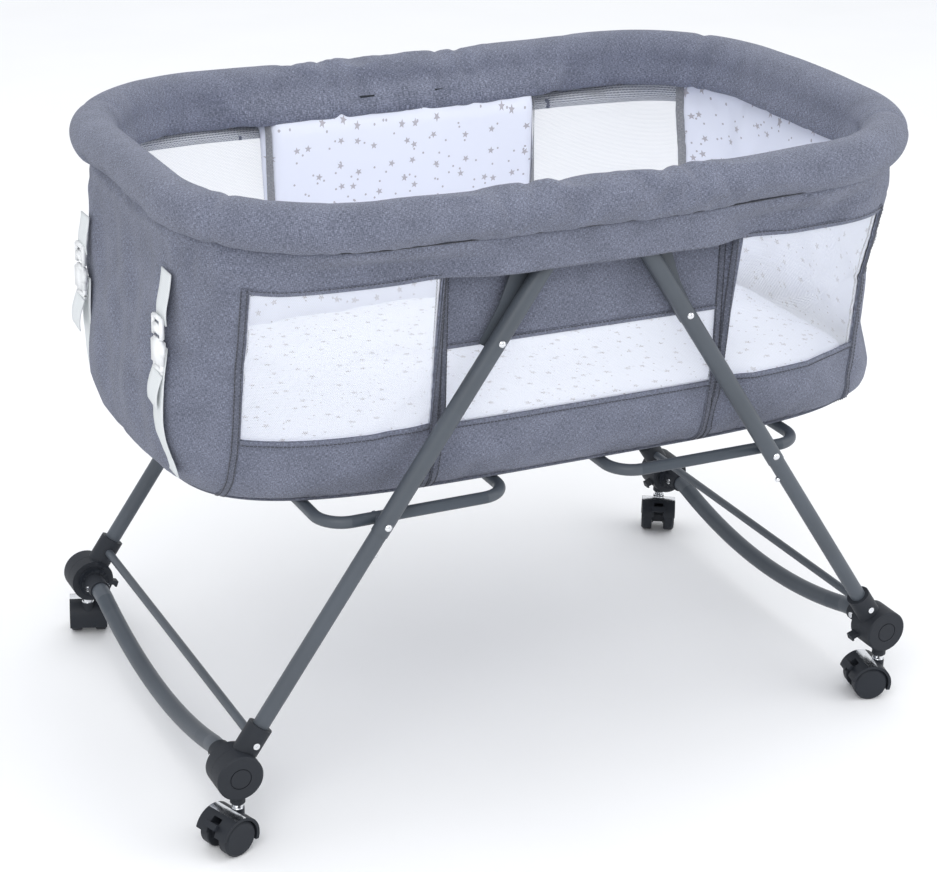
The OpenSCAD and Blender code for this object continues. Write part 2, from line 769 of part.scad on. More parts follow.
centre_rail_tubes();
hinge_housings();
pivot_pins();
centre_pads();
rail_tube(LEFT);  // left_rail_tube
rail_tube(RIGHT);  // right_rail_tube
rail_pad(LEFT);  // left_rail_pad
rail_pad(RIGHT);  // right_rail_pad
outer_cover();
liner();
mesh_windows();
leg_flaps();
base_board();
mattress();
end_straps();
strap_buckles();
upper_legs(LEFT);  // left_upper_legs
upper_legs(RIGHT);  // right_upper_legs
leg_brackets(LEFT);  // left_leg_brackets
leg_brackets(RIGHT);  // right_leg_brackets
spigots(LEFT);  // left_spigots
spigots(RIGHT);  // right_spigots
rivets(LEFT);  // left_rivets
rivets(RIGHT);  // right_rivets
hoop(LEFT, 81, 290);  // left_hoop
hoop(RIGHT, 50, 284);  // right_hoop
lower_legs(LEFT);  // left_lower_legs
lower_legs(RIGHT);  // right_lower_legs
foot_castings(LEFT);  // left_foot_castings
foot_castings(RIGHT);  // right_foot_castings
rocker(LEFT);  // left_rocker
rocker(RIGHT);  // right_rocker
brace(LEFT);  // left_brace
brace(RIGHT);  // right_brace
foot_screws(LEFT);  // left_foot_screws
foot_screws(RIGHT);  // right_foot_screws
hub_drum(LEFT, FRONT);  // hub_drum_fl
hub_drum(RIGHT, FRONT);  // hub_drum_fr
hub_drum(LEFT, BACK);  // hub_drum_bl
hub_drum(RIGHT, BACK);  // hub_drum_br
release_tab(LEFT, FRONT);  // release_tab_fl
release_tab(RIGHT, FRONT);  // release_tab_fr
release_tab(LEFT, BACK);  // release_tab_bl
release_tab(RIGHT, BACK);  // release_tab_br
caster_fork(LEFT, FRONT, TRAIL_FL);  // caster_fork_fl
caster_fork(RIGHT, FRONT, TRAIL_FR);  // caster_fork_fr
caster_fork(LEFT, BACK, TRAIL_BL);  // caster_fork_bl
caster_fork(RIGHT, BACK, TRAIL_BR);  // caster_fork_br
caster_wheels(LEFT, FRONT, TRAIL_FL);  // caster_wheels_fl
caster_wheels(RIGHT, FRONT, TRAIL_FR);  // caster_wheels_fr
caster_wheels(LEFT, BACK, TRAIL_BL);  // caster_wheels_bl
caster_wheels(RIGHT, BACK, TRAIL_BR);  // caster_wheels_br
brake_lever(LEFT, FRONT, TRAIL_FL);  // brake_lever_fl
brake_lever(RIGHT, FRONT, TRAIL_FR);  // brake_lever_fr
brake_lever(LEFT, BACK, TRAIL_BL);  // brake_lever_bl
brake_lever(RIGHT, BACK, TRAIL_BR);  // brake_lever_br
snap_button(LEFT, FRONT);  // snap_button_fl
snap_button(RIGHT, FRONT);  // snap_button_fr
snap_button(LEFT, BACK);  // snap_button_bl
snap_button(RIGHT, BACK);  // snap_button_br
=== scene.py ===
import json
import math

import bmesh
import bpy
import numpy as np
from mathutils import Matrix, Vector


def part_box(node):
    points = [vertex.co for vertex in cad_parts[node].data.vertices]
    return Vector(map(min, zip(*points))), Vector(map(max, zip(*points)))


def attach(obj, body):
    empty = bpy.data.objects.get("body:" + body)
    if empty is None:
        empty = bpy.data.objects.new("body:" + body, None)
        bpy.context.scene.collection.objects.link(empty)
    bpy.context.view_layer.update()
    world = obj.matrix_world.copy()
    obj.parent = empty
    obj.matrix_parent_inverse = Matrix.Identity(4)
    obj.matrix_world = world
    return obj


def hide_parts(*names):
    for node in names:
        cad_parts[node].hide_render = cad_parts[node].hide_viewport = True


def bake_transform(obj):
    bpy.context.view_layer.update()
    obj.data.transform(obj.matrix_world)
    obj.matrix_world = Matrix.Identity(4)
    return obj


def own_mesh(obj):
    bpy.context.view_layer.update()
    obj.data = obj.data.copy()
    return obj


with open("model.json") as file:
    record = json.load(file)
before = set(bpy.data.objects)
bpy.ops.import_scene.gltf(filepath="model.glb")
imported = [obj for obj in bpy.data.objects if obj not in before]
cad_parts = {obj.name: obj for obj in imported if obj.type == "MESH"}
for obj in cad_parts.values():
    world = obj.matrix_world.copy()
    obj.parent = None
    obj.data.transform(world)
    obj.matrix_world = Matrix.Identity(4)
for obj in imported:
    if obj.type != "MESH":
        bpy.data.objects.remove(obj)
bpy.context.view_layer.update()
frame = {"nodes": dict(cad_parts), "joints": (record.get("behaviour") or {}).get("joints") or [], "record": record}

# ---------------- sizes taken from the frame
JOINTS = {j["name"]: j for j in frame["joints"]}
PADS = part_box("centre_pads")
PAD_R = (PADS[1].z - PADS[0].z) / 2
RIM_Z = (PADS[1].z + PADS[0].z) / 2
RIM_W = PADS[1].y - PAD_R
HINGE_X = abs(JOINTS["left_rail_fold"]["pos_m"][0])
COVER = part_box("outer_cover")
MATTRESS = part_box("mattress")
BASKET_L = -COVER[0].x
BASE_Z = COVER[0].z
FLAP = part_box("leg_flaps")
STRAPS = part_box("end_straps")
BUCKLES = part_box("strap_buckles")

# ---------------- sizes of the sewn parts, in metres
CORNER_R = 0.165  # of the rim's centreline
RINGS = [
    # height, inset of the left end, inset of the right end, half width, roundness
    (0.0, 0.0521, 0.0293, 0.180, 3.8),
    (0.005, 0.0351, 0.0123, 0.194, 3.8),
    (0.0175, 0.0241, 0.0013, 0.205, 3.8),
    (0.0375, 0.0074, 0.0, 0.2125, 3.8),
    (0.0705, 0.0, 0.0124, 0.219, 3.9),
    (0.0955, 0.0011, 0.0223, 0.222, 4.1),
    (0.1655, 0.0111, 0.0373, 0.230, 4.6),
    (0.2455, 0.0221, 0.0433, 0.241, 6.0),
    (0.270, 0.0221, 0.0433, 0.245, 6.0),
]
WALL_MID_Z, WALL_TOP, ROW_TOP = 0.5, 0.604, 0.6262
MIDDLE_HALF = 0.166  # one more column between the tapes
MIDDLE_Y = 0.2215  # the wall's middle stretch stands behind the legs
SIDE_LIMIT_Y = 0.262
FOLDS_Z, GATHER_Z = (0.36, 0.615), 0.602  # the end walls' folds, and the gathers above them
TAPE_IN, TAPE_OUT = 0.162, 0.174  # between the middle window and a side window
WINDOW_OUT = 0.366
END_X = WINDOW_OUT + 0.009  # past this, columns are spaced along the rounded end
SIDE_Z = (0.421, 0.583)  # side windows
MIDDLE_Z = (0.4175, 0.500)  # middle windows
BACK_TOP_Z = 0.59875  # side windows of the back
PANEL_TOP_Z = 0.629
SEAM_ANGLE = math.radians(-75)  # round the rim's tube, where the wall is sewn on
SLEEVE_DROP = (0.019, -125, 0.28)  # added radius, its angle in degrees, and its width
MIDDLE_DROP = (0.028, -146, 0.42)
DROP_END, DROP_EASE = TAPE_OUT + 0.055, 0.05  # where the middle's drop ends, and over what length
PAD_SAG, PAD_PUFF = 0.0045, 0.0018  # how far simulation may move the sleeve in and out
WALL_SEAM_DEPTH, THREAD_DEPTH = 0.0035, 0.0022  # under the sleeve's surface
PAD_SEAM = 0.405
BUCKLE_LIFT = 0.030
STRAP_W = 0.027
FLAP_Z = FLAP[0].z
FLAP_REACH = TAPE_OUT + 0.028
TAPE_W, HEM_W = 0.0085, 0.006
TAPE_TOP = WALL_TOP - 0.016
CLOTH_T, LINER_T = 0.0014, 0.0010
LINER_FOOT, LINER_HEM = 0.016, 0.002
STRAP_T, TAIL_T = 0.0014, 0.0013
NET_GAP, LINER_GAP, INNER_TAPE_GAP = 0.0024, 0.0035, 0.0058  # inside the cover's surface
GRID, ROUND_GRID, PAD_GRID = 0.0065, 0.0028, 0.0055

LEFT, RIGHT, FRONT, BACK = -1, 1, -1, 1
SIDE_NAME = {LEFT: "left", RIGHT: "right"}
FACE_NAME = {FRONT: "front", BACK: "back"}
WINDOW_TOP = {FRONT: SIDE_Z[1], BACK: BACK_TOP_Z}


def linked(name, data):
    """A new object in the scene."""
    made = bpy.data.objects.new(name, data)
    bpy.context.scene.collection.objects.link(made)
    return made


# ---------------- camera
def make_camera():
    """The camera stands where the photographer stood, with the small roll of the hand."""
    place = Vector((-1.1089, -2.1520, 1.3156))
    target = Vector((-0.0186, 0.0, 0.296))
    roll = math.radians(1.595)
    data = bpy.data.cameras.new("camera")
    data.lens = 87.95
    data.sensor_width = 36
    cam = linked("camera", data)
    turn = (target - place).to_track_quat("-Z", "Y").to_matrix().to_4x4()
    cam.matrix_world = Matrix.Translation(place) @ turn @ Matrix.Rotation(roll, 4, "Z")
    bpy.context.scene.camera = cam


make_camera()


# ---------------- materials
def rgba(value):
    return (*value, 1) if isinstance(value, tuple) else value


class Shade:
    """A node material on a Principled shader, with short calls for the nodes used here."""

    def __init__(self, name, rough=0.8, metal=0.0):
        self.mat = bpy.data.materials.new(name)
        self.mat.use_nodes = True
        self.tree = self.mat.node_tree
        self.shader = self.tree.nodes["Principled BSDF"]
        self.shader.inputs["Roughness"].default_value = rough
        self.shader.inputs["Metallic"].default_value = metal

    def feed(self, socket, value):
        if isinstance(value, bpy.types.NodeSocket):
            self.tree.links.new(value, socket)
        else:
            socket.default_value = value

    def node(self, kind, **inputs):
        made = self.tree.nodes.new(kind)
        for name, value in inputs.items():
            self.feed(made.inputs[name.replace("_", " ")], value)
        return made

    def math(self, operation, a, b=0.0):
        made = self.tree.nodes.new("ShaderNodeMath")
        made.operation = operation
        self.feed(made.inputs[0], a)
        self.feed(made.inputs[1], b)
        return made.outputs[0]

    def uv(self, scale_u=1.0, scale_v=1.0):
        """The cloth's own coordinates in metres, scaled."""
        pin = self.tree.nodes.new("ShaderNodeUVMap")
        pin.uv_map = "UVMap"
        return self.node("ShaderNodeMapping", Vector=pin.outputs[0], Scale=(scale_u, scale_v, 1)).outputs[0]

    def place(self, scale):
        """The object's own coordinates in metres, scaled."""
        at = self.tree.nodes.new("ShaderNodeTexCoord").outputs["Object"]
        return self.node("ShaderNodeMapping", Vector=at, Scale=(scale, scale, scale)).outputs[0]

    def noise(self, vector, scale=1.0, detail=2.0):
        return self.node("ShaderNodeTexNoise", Vector=vector, Scale=scale, Detail=detail).outputs["Fac"]

    def ramp(self, value, *stops):
        made = self.node("ShaderNodeValToRGB", Fac=value)
        points = made.color_ramp.elements
        while len(points) < len(stops):
            points.new(0.5)
        for point, (at, colour) in zip(points, stops):
            point.position = at
            point.color = rgba(colour)
        return made.outputs["Color"]

    def mix(self, share, a, b):
        made = self.tree.nodes.new("ShaderNodeMix")
        made.data_type = "RGBA"
        self.feed(made.inputs[0], share)
        self.feed(made.inputs[6], rgba(a))
        self.feed(made.inputs[7], rgba(b))
        return made.outputs[2]

    def bump(self, height, distance, strength=1.0):
        made = self.node("ShaderNodeBump", Height=height, Distance=distance, Strength=strength)
        self.tree.links.new(made.outputs["Normal"], self.shader.inputs["Normal"])

    def colour(self, value):
        self.feed(self.shader.inputs["Base Color"], rgba(value))

    def weave(self, pitch):
        """Height of a plain weave: threads that pass over and under each other."""
        turn = 2 * math.pi / pitch
        parts = self.node("ShaderNodeSeparateXYZ", Vector=self.uv(turn, turn)).outputs
        return self.math("MULTIPLY", self.math("SINE", parts[0]), self.math("SINE", parts[1]))


def heather(name, dark, middle, light):
    """Melange linen-look cloth: slubs along both thread directions over a plain weave."""
    s = Shade(name, rough=0.92)
    s.shader.inputs["Sheen Weight"].default_value = 0.12
    along = s.noise(s.uv(300, 1900), detail=3)
    across = s.noise(s.uv(1900, 300), detail=3)
    patch = s.noise(s.uv(28, 28), detail=3)
    slub = s.math("ADD", s.math("MULTIPLY", along, 0.5), s.math("MULTIPLY", across, 0.5))
    tone = s.math("ADD", slub, s.math("MULTIPLY", s.math("SUBTRACT", patch, 0.5), 0.12))
    s.colour(s.ramp(tone, (0.36, dark), (0.5, middle), (0.64, light)))
    s.bump(s.math("ADD", s.math("MULTIPLY", s.weave(0.0008), 0.3), slub), 0.0005, 0.7)
    return s.mat


def star_print(name, ground, ink):
    """White cloth printed with small five-pointed stars, turned at random, and dots between them."""
    s = Shade(name, rough=0.85)
    s.shader.inputs["Sheen Weight"].default_value = 0.1
    cell = s.node("ShaderNodeTexVoronoi", Vector=s.uv(), Scale=38.0, Randomness=0.8)
    cell.voronoi_dimensions = "2D"
    offset = s.node("ShaderNodeVectorMath")
    offset.operation = "SUBTRACT"
    s.feed(offset.inputs[0], s.uv())
    s.feed(offset.inputs[1], cell.outputs["Position"])
    parts = s.node("ShaderNodeSeparateXYZ", Vector=offset.outputs[0]).outputs
    chance = s.node("ShaderNodeSeparateColor", Color=cell.outputs["Color"]).outputs
    angle = s.math("ADD", s.math("ARCTAN2", parts[1], parts[0]), s.math("MULTIPLY", chance[0], 6.0))
    sector = 2 * math.pi / 5
    wedge = s.math("ABSOLUTE", s.math("SUBTRACT", s.math("FLOORED_MODULO", angle, sector), sector / 2))
    reach = s.math("SQRT", s.math("ADD", s.math("POWER", parts[0], 2), s.math("POWER", parts[1], 2)))
    tip, notch = 0.0046, 0.0020  # radii of the star's points and of its inner corners
    half = math.pi / 5
    under = s.math(
        "ADD",
        s.math("MULTIPLY", s.math("SINE", wedge), notch),
        s.math("MULTIPLY", s.math("SINE", s.math("SUBTRACT", half, wedge)), tip),
    )
    edge = s.math("DIVIDE", tip * notch * math.sin(half), under)
    star = s.math("MULTIPLY", s.math("LESS_THAN", reach, edge), s.math("LESS_THAN", chance[1], 0.72))
    dots = s.node("ShaderNodeTexVoronoi", Vector=s.uv(), Scale=75.0, Randomness=1.0)
    dots.voronoi_dimensions = "2D"
    pick = s.node("ShaderNodeSeparateColor", Color=dots.outputs["Color"]).outputs[2]
    spot = s.math("LESS_THAN", dots.outputs["Distance"], 0.095)
    dot = s.math("MULTIPLY", spot, s.math("LESS_THAN", pick, 0.42))
    mark = s.math("MULTIPLY", s.math("MAXIMUM", star, dot), 0.85)
    s.colour(s.mix(mark, ground, ink))
    s.bump(s.weave(0.0008), 0.0002, 0.4)
    return s.mat


def net(name, thread, pitch, open_r):
    """Knitted mesh: a staggered grid of round holes."""
    s = Shade(name, rough=0.7)
    s.colour(thread)
    step = pitch * math.sqrt(3)
    holes = []
    for shift in (0.0, 0.5):
        parts = s.node("ShaderNodeSeparateXYZ", Vector=s.uv(1 / pitch, 1 / step)).outputs
        near = [s.math("SUBTRACT", s.math("FRACT", s.math("ADD", p, 50 + shift)), 0.5) for p in parts[:2]]
        flat = s.math("POWER", s.math("MULTIPLY", near[0], pitch), 2)
        tall = s.math("POWER", s.math("MULTIPLY", near[1], step), 2)
        holes.append(s.math("SQRT", s.math("ADD", flat, tall)))
    solid = s.math("GREATER_THAN", s.math("MINIMUM", *holes), open_r)
    s.feed(s.shader.inputs["Alpha"], solid)
    return s.mat


def ribbed(name, base, pitch):
    """Webbing with ribs across its width, with painted shade: its colour is darker in the hollows between the
    ribs.
    """
    s = Shade(name, rough=0.7)
    turn = 2 * math.pi / pitch
    parts = s.node("ShaderNodeSeparateXYZ", Vector=s.uv(turn, turn)).outputs
    rib = s.math("ADD", s.math("SINE", parts[1]), s.math("MULTIPLY", s.math("SINE", parts[0]), 0.3))
    # painted shade: the colour darkens where the ribs are low, as if shade fell in their hollows
    painted_rib_shade = s.math("ADD", s.math("MULTIPLY", rib, 0.12), 0.5)
    s.colour(s.ramp(painted_rib_shade, (0.3, tuple(c * 0.82 for c in base)), (0.65, base)))
    s.bump(rib, 0.0003, 0.6)
    return s.mat


def coated(name, base, rough, grain, worn=0.06, shine=0.5):
    """Powder coat or moulded plastic: fine grain, slight tone changes, paler where edges wear."""
    s = Shade(name, rough=rough)
    s.shader.inputs["Specular IOR Level"].default_value = shine
    tone = s.noise(s.place(14), detail=4)
    plain = s.ramp(tone, (0.3, tuple(c * 0.9 for c in base)), (0.7, tuple(c * 1.12 for c in base)))
    edge = s.math("SUBTRACT", s.node("ShaderNodeNewGeometry").outputs["Pointiness"], 0.5)
    wear = s.math("MINIMUM", s.math("MAXIMUM", s.math("MULTIPLY", edge, 4.0), 0.0), worn)
    s.colour(s.mix(wear, plain, (0.45, 0.46, 0.48)))
    fine = s.noise(s.place(grain), detail=2)
    s.feed(s.shader.inputs["Roughness"], s.math("ADD", s.math("MULTIPLY", fine, 0.14), rough - 0.07))
    s.bump(fine, 0.00012, 0.35)
    return s.mat


def bright_metal(name):
    """Polished steel with faint smears."""
    s = Shade(name, rough=0.2, metal=1.0)
    tone = s.noise(s.place(260), detail=3)
    s.colour(s.ramp(tone, (0.3, (0.68, 0.69, 0.71)), (0.7, (0.82, 0.83, 0.85))))
    s.feed(s.shader.inputs["Roughness"], s.math("ADD", s.math("MULTIPLY", tone, 0.18), 0.12))
    return s.mat


def wood_board(name):
    """Brown fibreboard with a long grain."""
    s = Shade(name, rough=0.75)
    rings = s.noise(s.uv(6, 130), detail=5)
    s.colour(s.ramp(rings, (0.35, (0.23, 0.14, 0.08)), (0.65, (0.37, 0.25, 0.15))))
    s.bump(rings, 0.0003, 0.4)
    return s.mat


def pale_floor(name):
    """Studio paper."""
    s = Shade(name, rough=0.85)
    tone = s.noise(s.place(3), detail=2)
    s.colour(s.ramp(tone, (0.3, (0.93, 0.93, 0.935)), (0.7, (0.95, 0.95, 0.955))))
    return s.mat


CLOTH = heather("grey_heather", (0.062, 0.068, 0.093), (0.142, 0.156, 0.212), (0.29, 0.31, 0.40))
BINDING = heather("binding_heather", (0.050, 0.055, 0.075), (0.105, 0.115, 0.155), (0.22, 0.235, 0.30))
INNER_BINDING = heather("inner_binding", (0.19, 0.195, 0.21), (0.29, 0.295, 0.315), (0.42, 0.43, 0.45))
STARS = star_print("star_cloth", (0.84, 0.865, 0.96), (0.42, 0.39, 0.42))
NET = net("white_net", (0.74, 0.76, 0.80), 0.0018, 0.00068)
THREAD = coated("dark_thread", (0.035, 0.037, 0.045), 0.8, 900)
STEEL = coated("powder_coat_steel", (0.052, 0.064, 0.080), 0.42, 700, shine=0.35)
PLASTIC = coated("black_plastic", (0.012, 0.015, 0.021), 0.55, 1100, worn=0.03, shine=0.2)
CASTER = coated("caster_plastic", (0.012, 0.015, 0.021), 0.5, 1100, worn=0.02, shine=0.22)
BRIGHT = bright_metal("bright_steel")
WEBBING = ribbed("pale_webbing", (0.80, 0.83, 0.84), 0.0016)
WHITE_PLASTIC = coated("white_plastic", (0.86, 0.87, 0.88), 0.35, 900, worn=0.0)
BOARD = wood_board("board")

NODE_LOOKS = {
    "powder_coat": STEEL, "black_plastic": PLASTIC, "caster_plastic": CASTER, "bright_steel": BRIGHT,
}


def finish_cad_nodes():
    """Every CAD node with a listed material slot gets its finish, and each caster fork gets steel for its stem and
    ring.
    """
    for part in frame["record"]["subparts"]:
        look = NODE_LOOKS.get(part["material_slot"])
        if look is None:
            continue
        node = frame["nodes"][part["node"]]
        node.data.materials.clear()
        node.data.materials.append(look)
        if "caster_fork" in part["node"]:
            ring_metal(node)


STEM_H = 0.0235


def ring_metal(node):
    """The fork's stem and its ring are steel: they stand above the hood."""
    node.data.materials.append(BRIGHT)
    top = max(v.co.z for v in node.data.vertices)
    for face in node.data.polygons:
        if face.center.z > top - STEM_H:
            face.material_index = 1


finish_cad_nodes()


# ---------------- number helpers
def smooth(share):
    """Eases from 0 to 1, and holds outside."""
    share = np.clip(share, 0, 1)
    return share * share * (3 - 2 * share)


def unit(vectors):
    return vectors / np.linalg.norm(vectors, axis=-1, keepdims=True)


def run_of(steps):
    """Zero, then the sum of the steps so far."""
    return np.concatenate([[0], np.cumsum(steps)])


def run_along(path):
    """Length along a path at each of its points."""
    return run_of(np.linalg.norm(np.diff(path, axis=0), axis=1))


def turned(angle, centre):
    """An angle's signed distance from a centre."""
    return (angle - centre + np.pi) % (2 * np.pi) - np.pi


def grid_uv(u, v):
    """UVs of a grid: u along its columns and v up its rows."""
    return np.stack(np.broadcast_arrays(u[None, :], v[:, None]), axis=2)


def plan_uv(points):
    """UVs of a closed grid as seen from above, with its first column again at the end."""
    return np.concatenate([points[..., :2], points[:, :1, :2]], axis=1)


# ---------------- mesh helpers
def new_piece(name, points, faces, material, uvs=None):
    """A mesh object from points, faces and one UV per face corner."""
    mesh = bpy.data.meshes.new(name)
    mesh.from_pydata([tuple(map(float, p)) for p in points], [], faces)
    mesh.materials.append(material)
    if uvs is not None:
        layer = mesh.uv_layers.new(name="UVMap")
        layer.data.foreach_set("uv", np.asarray(uvs, np.float32).ravel())
    mesh.polygons.foreach_set("use_smooth", [True] * len(mesh.polygons))
    mesh.update()
    return linked(name, mesh)


def grid_piece(name, points, uv, material, keep=None, closed=False):
    """A piece from a grid of points (rows, columns, 3); uv has one more column when the grid is closed."""
    rows, cols = points.shape[:2]
    faces, corners = [], []
    for i in range(rows - 1):
        for j in range(cols if closed else cols - 1):
            if keep is not None and not keep[i, j]:
                continue
            k = (j + 1) % cols
            faces.append((i * cols + j, i * cols + k, (i + 1) * cols + k, (i + 1) * cols + j))
            corners += [uv[i, j], uv[i, j + 1], uv[i + 1, j + 1], uv[i + 1, j]]
    used = sorted({v for f in faces for v in f})
    renumber = {v: n for n, v in enumerate(used)}
    flat = points.reshape(-1, 3)[used]
    return new_piece(name, flat, [[renumber[v] for v in f] for f in faces], material, corners)


def applied(piece, kind, **settings):
    """Adds a modifier and applies it to the mesh."""
    made = piece.modifiers.new(kind.lower(), kind)
    for name, value in settings.items():
        setattr(made, name, value)
    shape = piece.evaluated_get(bpy.context.evaluated_depsgraph_get())
    mesh = bpy.data.meshes.new_from_object(shape)
    piece.modifiers.clear()
    old, piece.data = piece.data, mesh
    bpy.data.meshes.remove(old)
    mesh.name = piece.name


def thickened(piece, thickness):
    applied(piece, "SOLIDIFY", thickness=thickness, offset=-1.0)


def fill_holes(piece, near=math.inf, recalculate=False):
    """Closes the mesh's open edges that lie less than near from the middle, along X."""
    mesh = bmesh.new()
    mesh.from_mesh(piece.data)
    edges = [e for e in mesh.edges if e.is_boundary and max(abs(v.co.x) for v in e.verts) < near]
    bmesh.ops.holes_fill(mesh, edges=edges)
    if recalculate:
        bmesh.ops.recalc_face_normals(mesh, faces=mesh.faces)
    mesh.to_mesh(piece.data)
    mesh.free()


def normals_of(points):
    """Unit normals of a closed grid of points, rows going up and columns going round."""
    across = np.roll(points, -1, 1) - np.roll(points, 1, 1)
    n = np.cross(across, np.gradient(points, axis=0))
    return n / np.maximum(np.linalg.norm(n, axis=2, keepdims=True), 1e-9)


def coordinates(piece):
    out = np.zeros(len(piece.data.vertices) * 3, np.float64)
    piece.data.vertices.foreach_get("co", out)
    return out.reshape(-1, 3)


def set_coordinates(piece, points):
    piece.data.vertices.foreach_set("co", points.astype(np.float32).ravel())
    piece.data.update()


def ribbon(name, path, out, width, thickness, material, crown=0.0):
    """A flat strip with rounded edges along a path; out is its outward direction at each point."""
    along = unit(np.gradient(path, axis=0))
    side = unit(np.cross(along, out))
    h, w = thickness / 2, width / 2
    section = [
        (-w, 0), (-w + h * 0.6, h), (-w / 2, h + crown * 0.7), (0, h + crown), (w / 2, h + crown * 0.7),
        (w - h * 0.6, h), (w, 0), (w - h * 0.6, -h), (0, -h), (-w + h * 0.6, -h),
    ]
    points = np.stack([path + side * a + out * (b + h) for a, b in section], axis=1)
    round_at = np.array([a for a, _ in section] + [-w])
    piece = grid_piece(name, points, grid_uv(round_at, run_along(path)), material, closed=True)
    fill_holes(piece, recalculate=True)
    return piece


def joined(name, pieces):
    """Several pieces as one object."""
    with bpy.context.temp_override(
        active_object=pieces[0], object=pieces[0], selected_objects=pieces, selected_editable_objects=pieces
    ):
        bpy.ops.object.join()
    pieces[0].name = pieces[0].data.name = name
    return pieces[0]


STITCH_PITCH, STITCH_R, STITCH_FILL = 0.0042, 0.00045, 0.7
STITCH_ASIDE = 0.003


def stitches(name, lines):
    """Sewing thread: a short raised dash for each stitch. A line is (points, outward directions)."""
    points, faces = [], []
    for path, out in lines:
        length = run_along(path)
        for start in np.arange(STITCH_PITCH / 2, length[-1] - STITCH_PITCH * STITCH_FILL, STITCH_PITCH):
            ends = [
                np.array([np.interp(start + d, length, path[:, k]) for k in range(3)])
                for d in (0, STITCH_PITCH * STITCH_FILL / 2, STITCH_PITCH * STITCH_FILL)
            ]
            up = np.array([np.interp(start, length, out[:, k]) for k in range(3)]) * STITCH_R
            side = unit(np.cross(ends[2] - ends[0], up)) * STITCH_R
            base = len(points)
            for end, lift in zip(ends, (-0.4, 1.0, -0.4)):
                centre = end + up * lift
                points += [centre - side, centre + up, centre + side, centre - up]
            for ring in (0, 4):
                for k in range(4):
                    a, b = base + ring + k, base + ring + (k + 1) % 4
                    faces.append((a, b, b + 4, a + 4))
            faces += [(base, base + 3, base + 2, base + 1), tuple(base + 8 + k for k in range(4))]
    return new_piece(name, points, faces, THREAD)


# ---------------- cloth simulation
TENSION = 15.0


def simulate(piece, pinned, pressure, grow, bend, cap, frames=18):
    """Runs Blender's cloth on the piece and keeps the result, with each point moved by at most cap.
    pinned holds a weight for each point, from 0, free, to 1, fixed."""
    rest = coordinates(piece)
    group = piece.vertex_groups.new(name="pin")
    for k, weight in enumerate(pinned):
        group.add([k], float(weight), "REPLACE")
    cloth = piece.modifiers.new("cloth", "CLOTH")
    settings = cloth.settings
    settings.quality = 5
    settings.mass = 0.2
    settings.tension_stiffness = settings.compression_stiffness = TENSION
    settings.shear_stiffness = TENSION / 3
    settings.bending_stiffness = bend
    settings.air_damping = 2.0
    settings.shrink_min = -grow
    settings.vertex_group_mass = "pin"
    settings.pin_stiffness = 1.0
    settings.effector_weights.gravity = 0.0
    settings.use_pressure = True
    settings.uniform_pressure_force = pressure
    cloth.collision_settings.use_collision = False
    cloth.point_cache.frame_start = 1
    cloth.point_cache.frame_end = frames
    for step in range(1, frames + 1):
        bpy.context.scene.frame_set(step)
    shape = piece.evaluated_get(bpy.context.evaluated_depsgraph_get())
    found = np.zeros(len(rest) * 3)
    shape.data.vertices.foreach_get("co", found)
    moved = found.reshape(-1, 3) - rest
    far = np.linalg.norm(moved, axis=1, keepdims=True)
    piece.modifiers.clear()
    piece.vertex_groups.clear()
    set_coordinates(piece, rest + moved * np.minimum(1, cap / np.maximum(far, 1e-9)))
    bpy.context.scene.frame_set(1)


# ---------------- the rim's path
def rim_reach(side):
    """How far a rim half runs out from its hinge, and how steeply it rises, from its pad's box."""
    low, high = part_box("left_rail_pad" if side < 0 else "right_rail_pad")
    flat = (-low.x if side < 0 else high.x) - PAD_R - HINGE_X
    lift = high.z - PAD_R - RIM_Z
    return math.hypot(flat, lift), math.atan2(lift, flat)


REACH = {side: rim_reach(side) for side in (LEFT, RIGHT)}


ARC = math.pi / 2 * CORNER_R


def rim_straight(side):
    """Length of a rim half's long side, from the middle to where its corner starts."""
    return HINGE_X + REACH[side][0] - CORNER_R


def rim_length(side):
    """Length of a rim half, from the middle of the front round the end to the middle of the back."""
    return 2 * (rim_straight(side) + ARC) + 2 * (RIM_W - CORNER_R)


def rim_frame(side, s):
    """Points of the rim's centreline, s along it from the front middle, with their outward and upward
    directions."""
    straight, total, rise = rim_straight(side), rim_length(side), REACH[side][1]
    back = s > total / 2
    t = np.where(back, total - s, s)
    turn = np.clip((t - straight) / CORNER_R, 0, math.pi / 2)
    d = np.minimum(t, straight) + CORNER_R * np.sin(turn)
    y = -RIM_W + CORNER_R * (1 - np.cos(turn)) + np.maximum(t - straight - ARC, 0)
    heading = np.where(back, math.pi - turn, turn)
    past = np.maximum(d - HINGE_X, 0)
    x = np.minimum(d, HINGE_X) + past * math.cos(rise)
    centre = np.stack([side * x, np.where(back, -y, y), RIM_Z + past * math.sin(rise)], 1)
    tilt = np.where(d > HINGE_X, rise, 0.0)
    ahead = np.sin(heading)
    out = np.stack([side * ahead * np.cos(tilt), -np.cos(heading), ahead * np.sin(tilt)], 1)
    up = np.stack([-side * np.sin(tilt), 0 * tilt, np.cos(tilt)], 1)
    return centre, out, up


def seam_line(side, s, depth):
    """The wall's seam under the rim, depth inside the sleeve's surface, and its outward directions."""
    centre, out, up = rim_frame(side, s)
    spoke = out * math.cos(SEAM_ANGLE) + up * math.sin(SEAM_ANGLE)
    return centre + spoke * (PAD_R - depth), spoke


def bend_at_hinge(piece):
    """Bakes the piece's placement into its mesh."""
    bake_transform(piece)


# ---------------- padded rim
def groove(at, centre, width, depth):
    return -depth * np.exp(-(((at - centre) / width) ** 2))


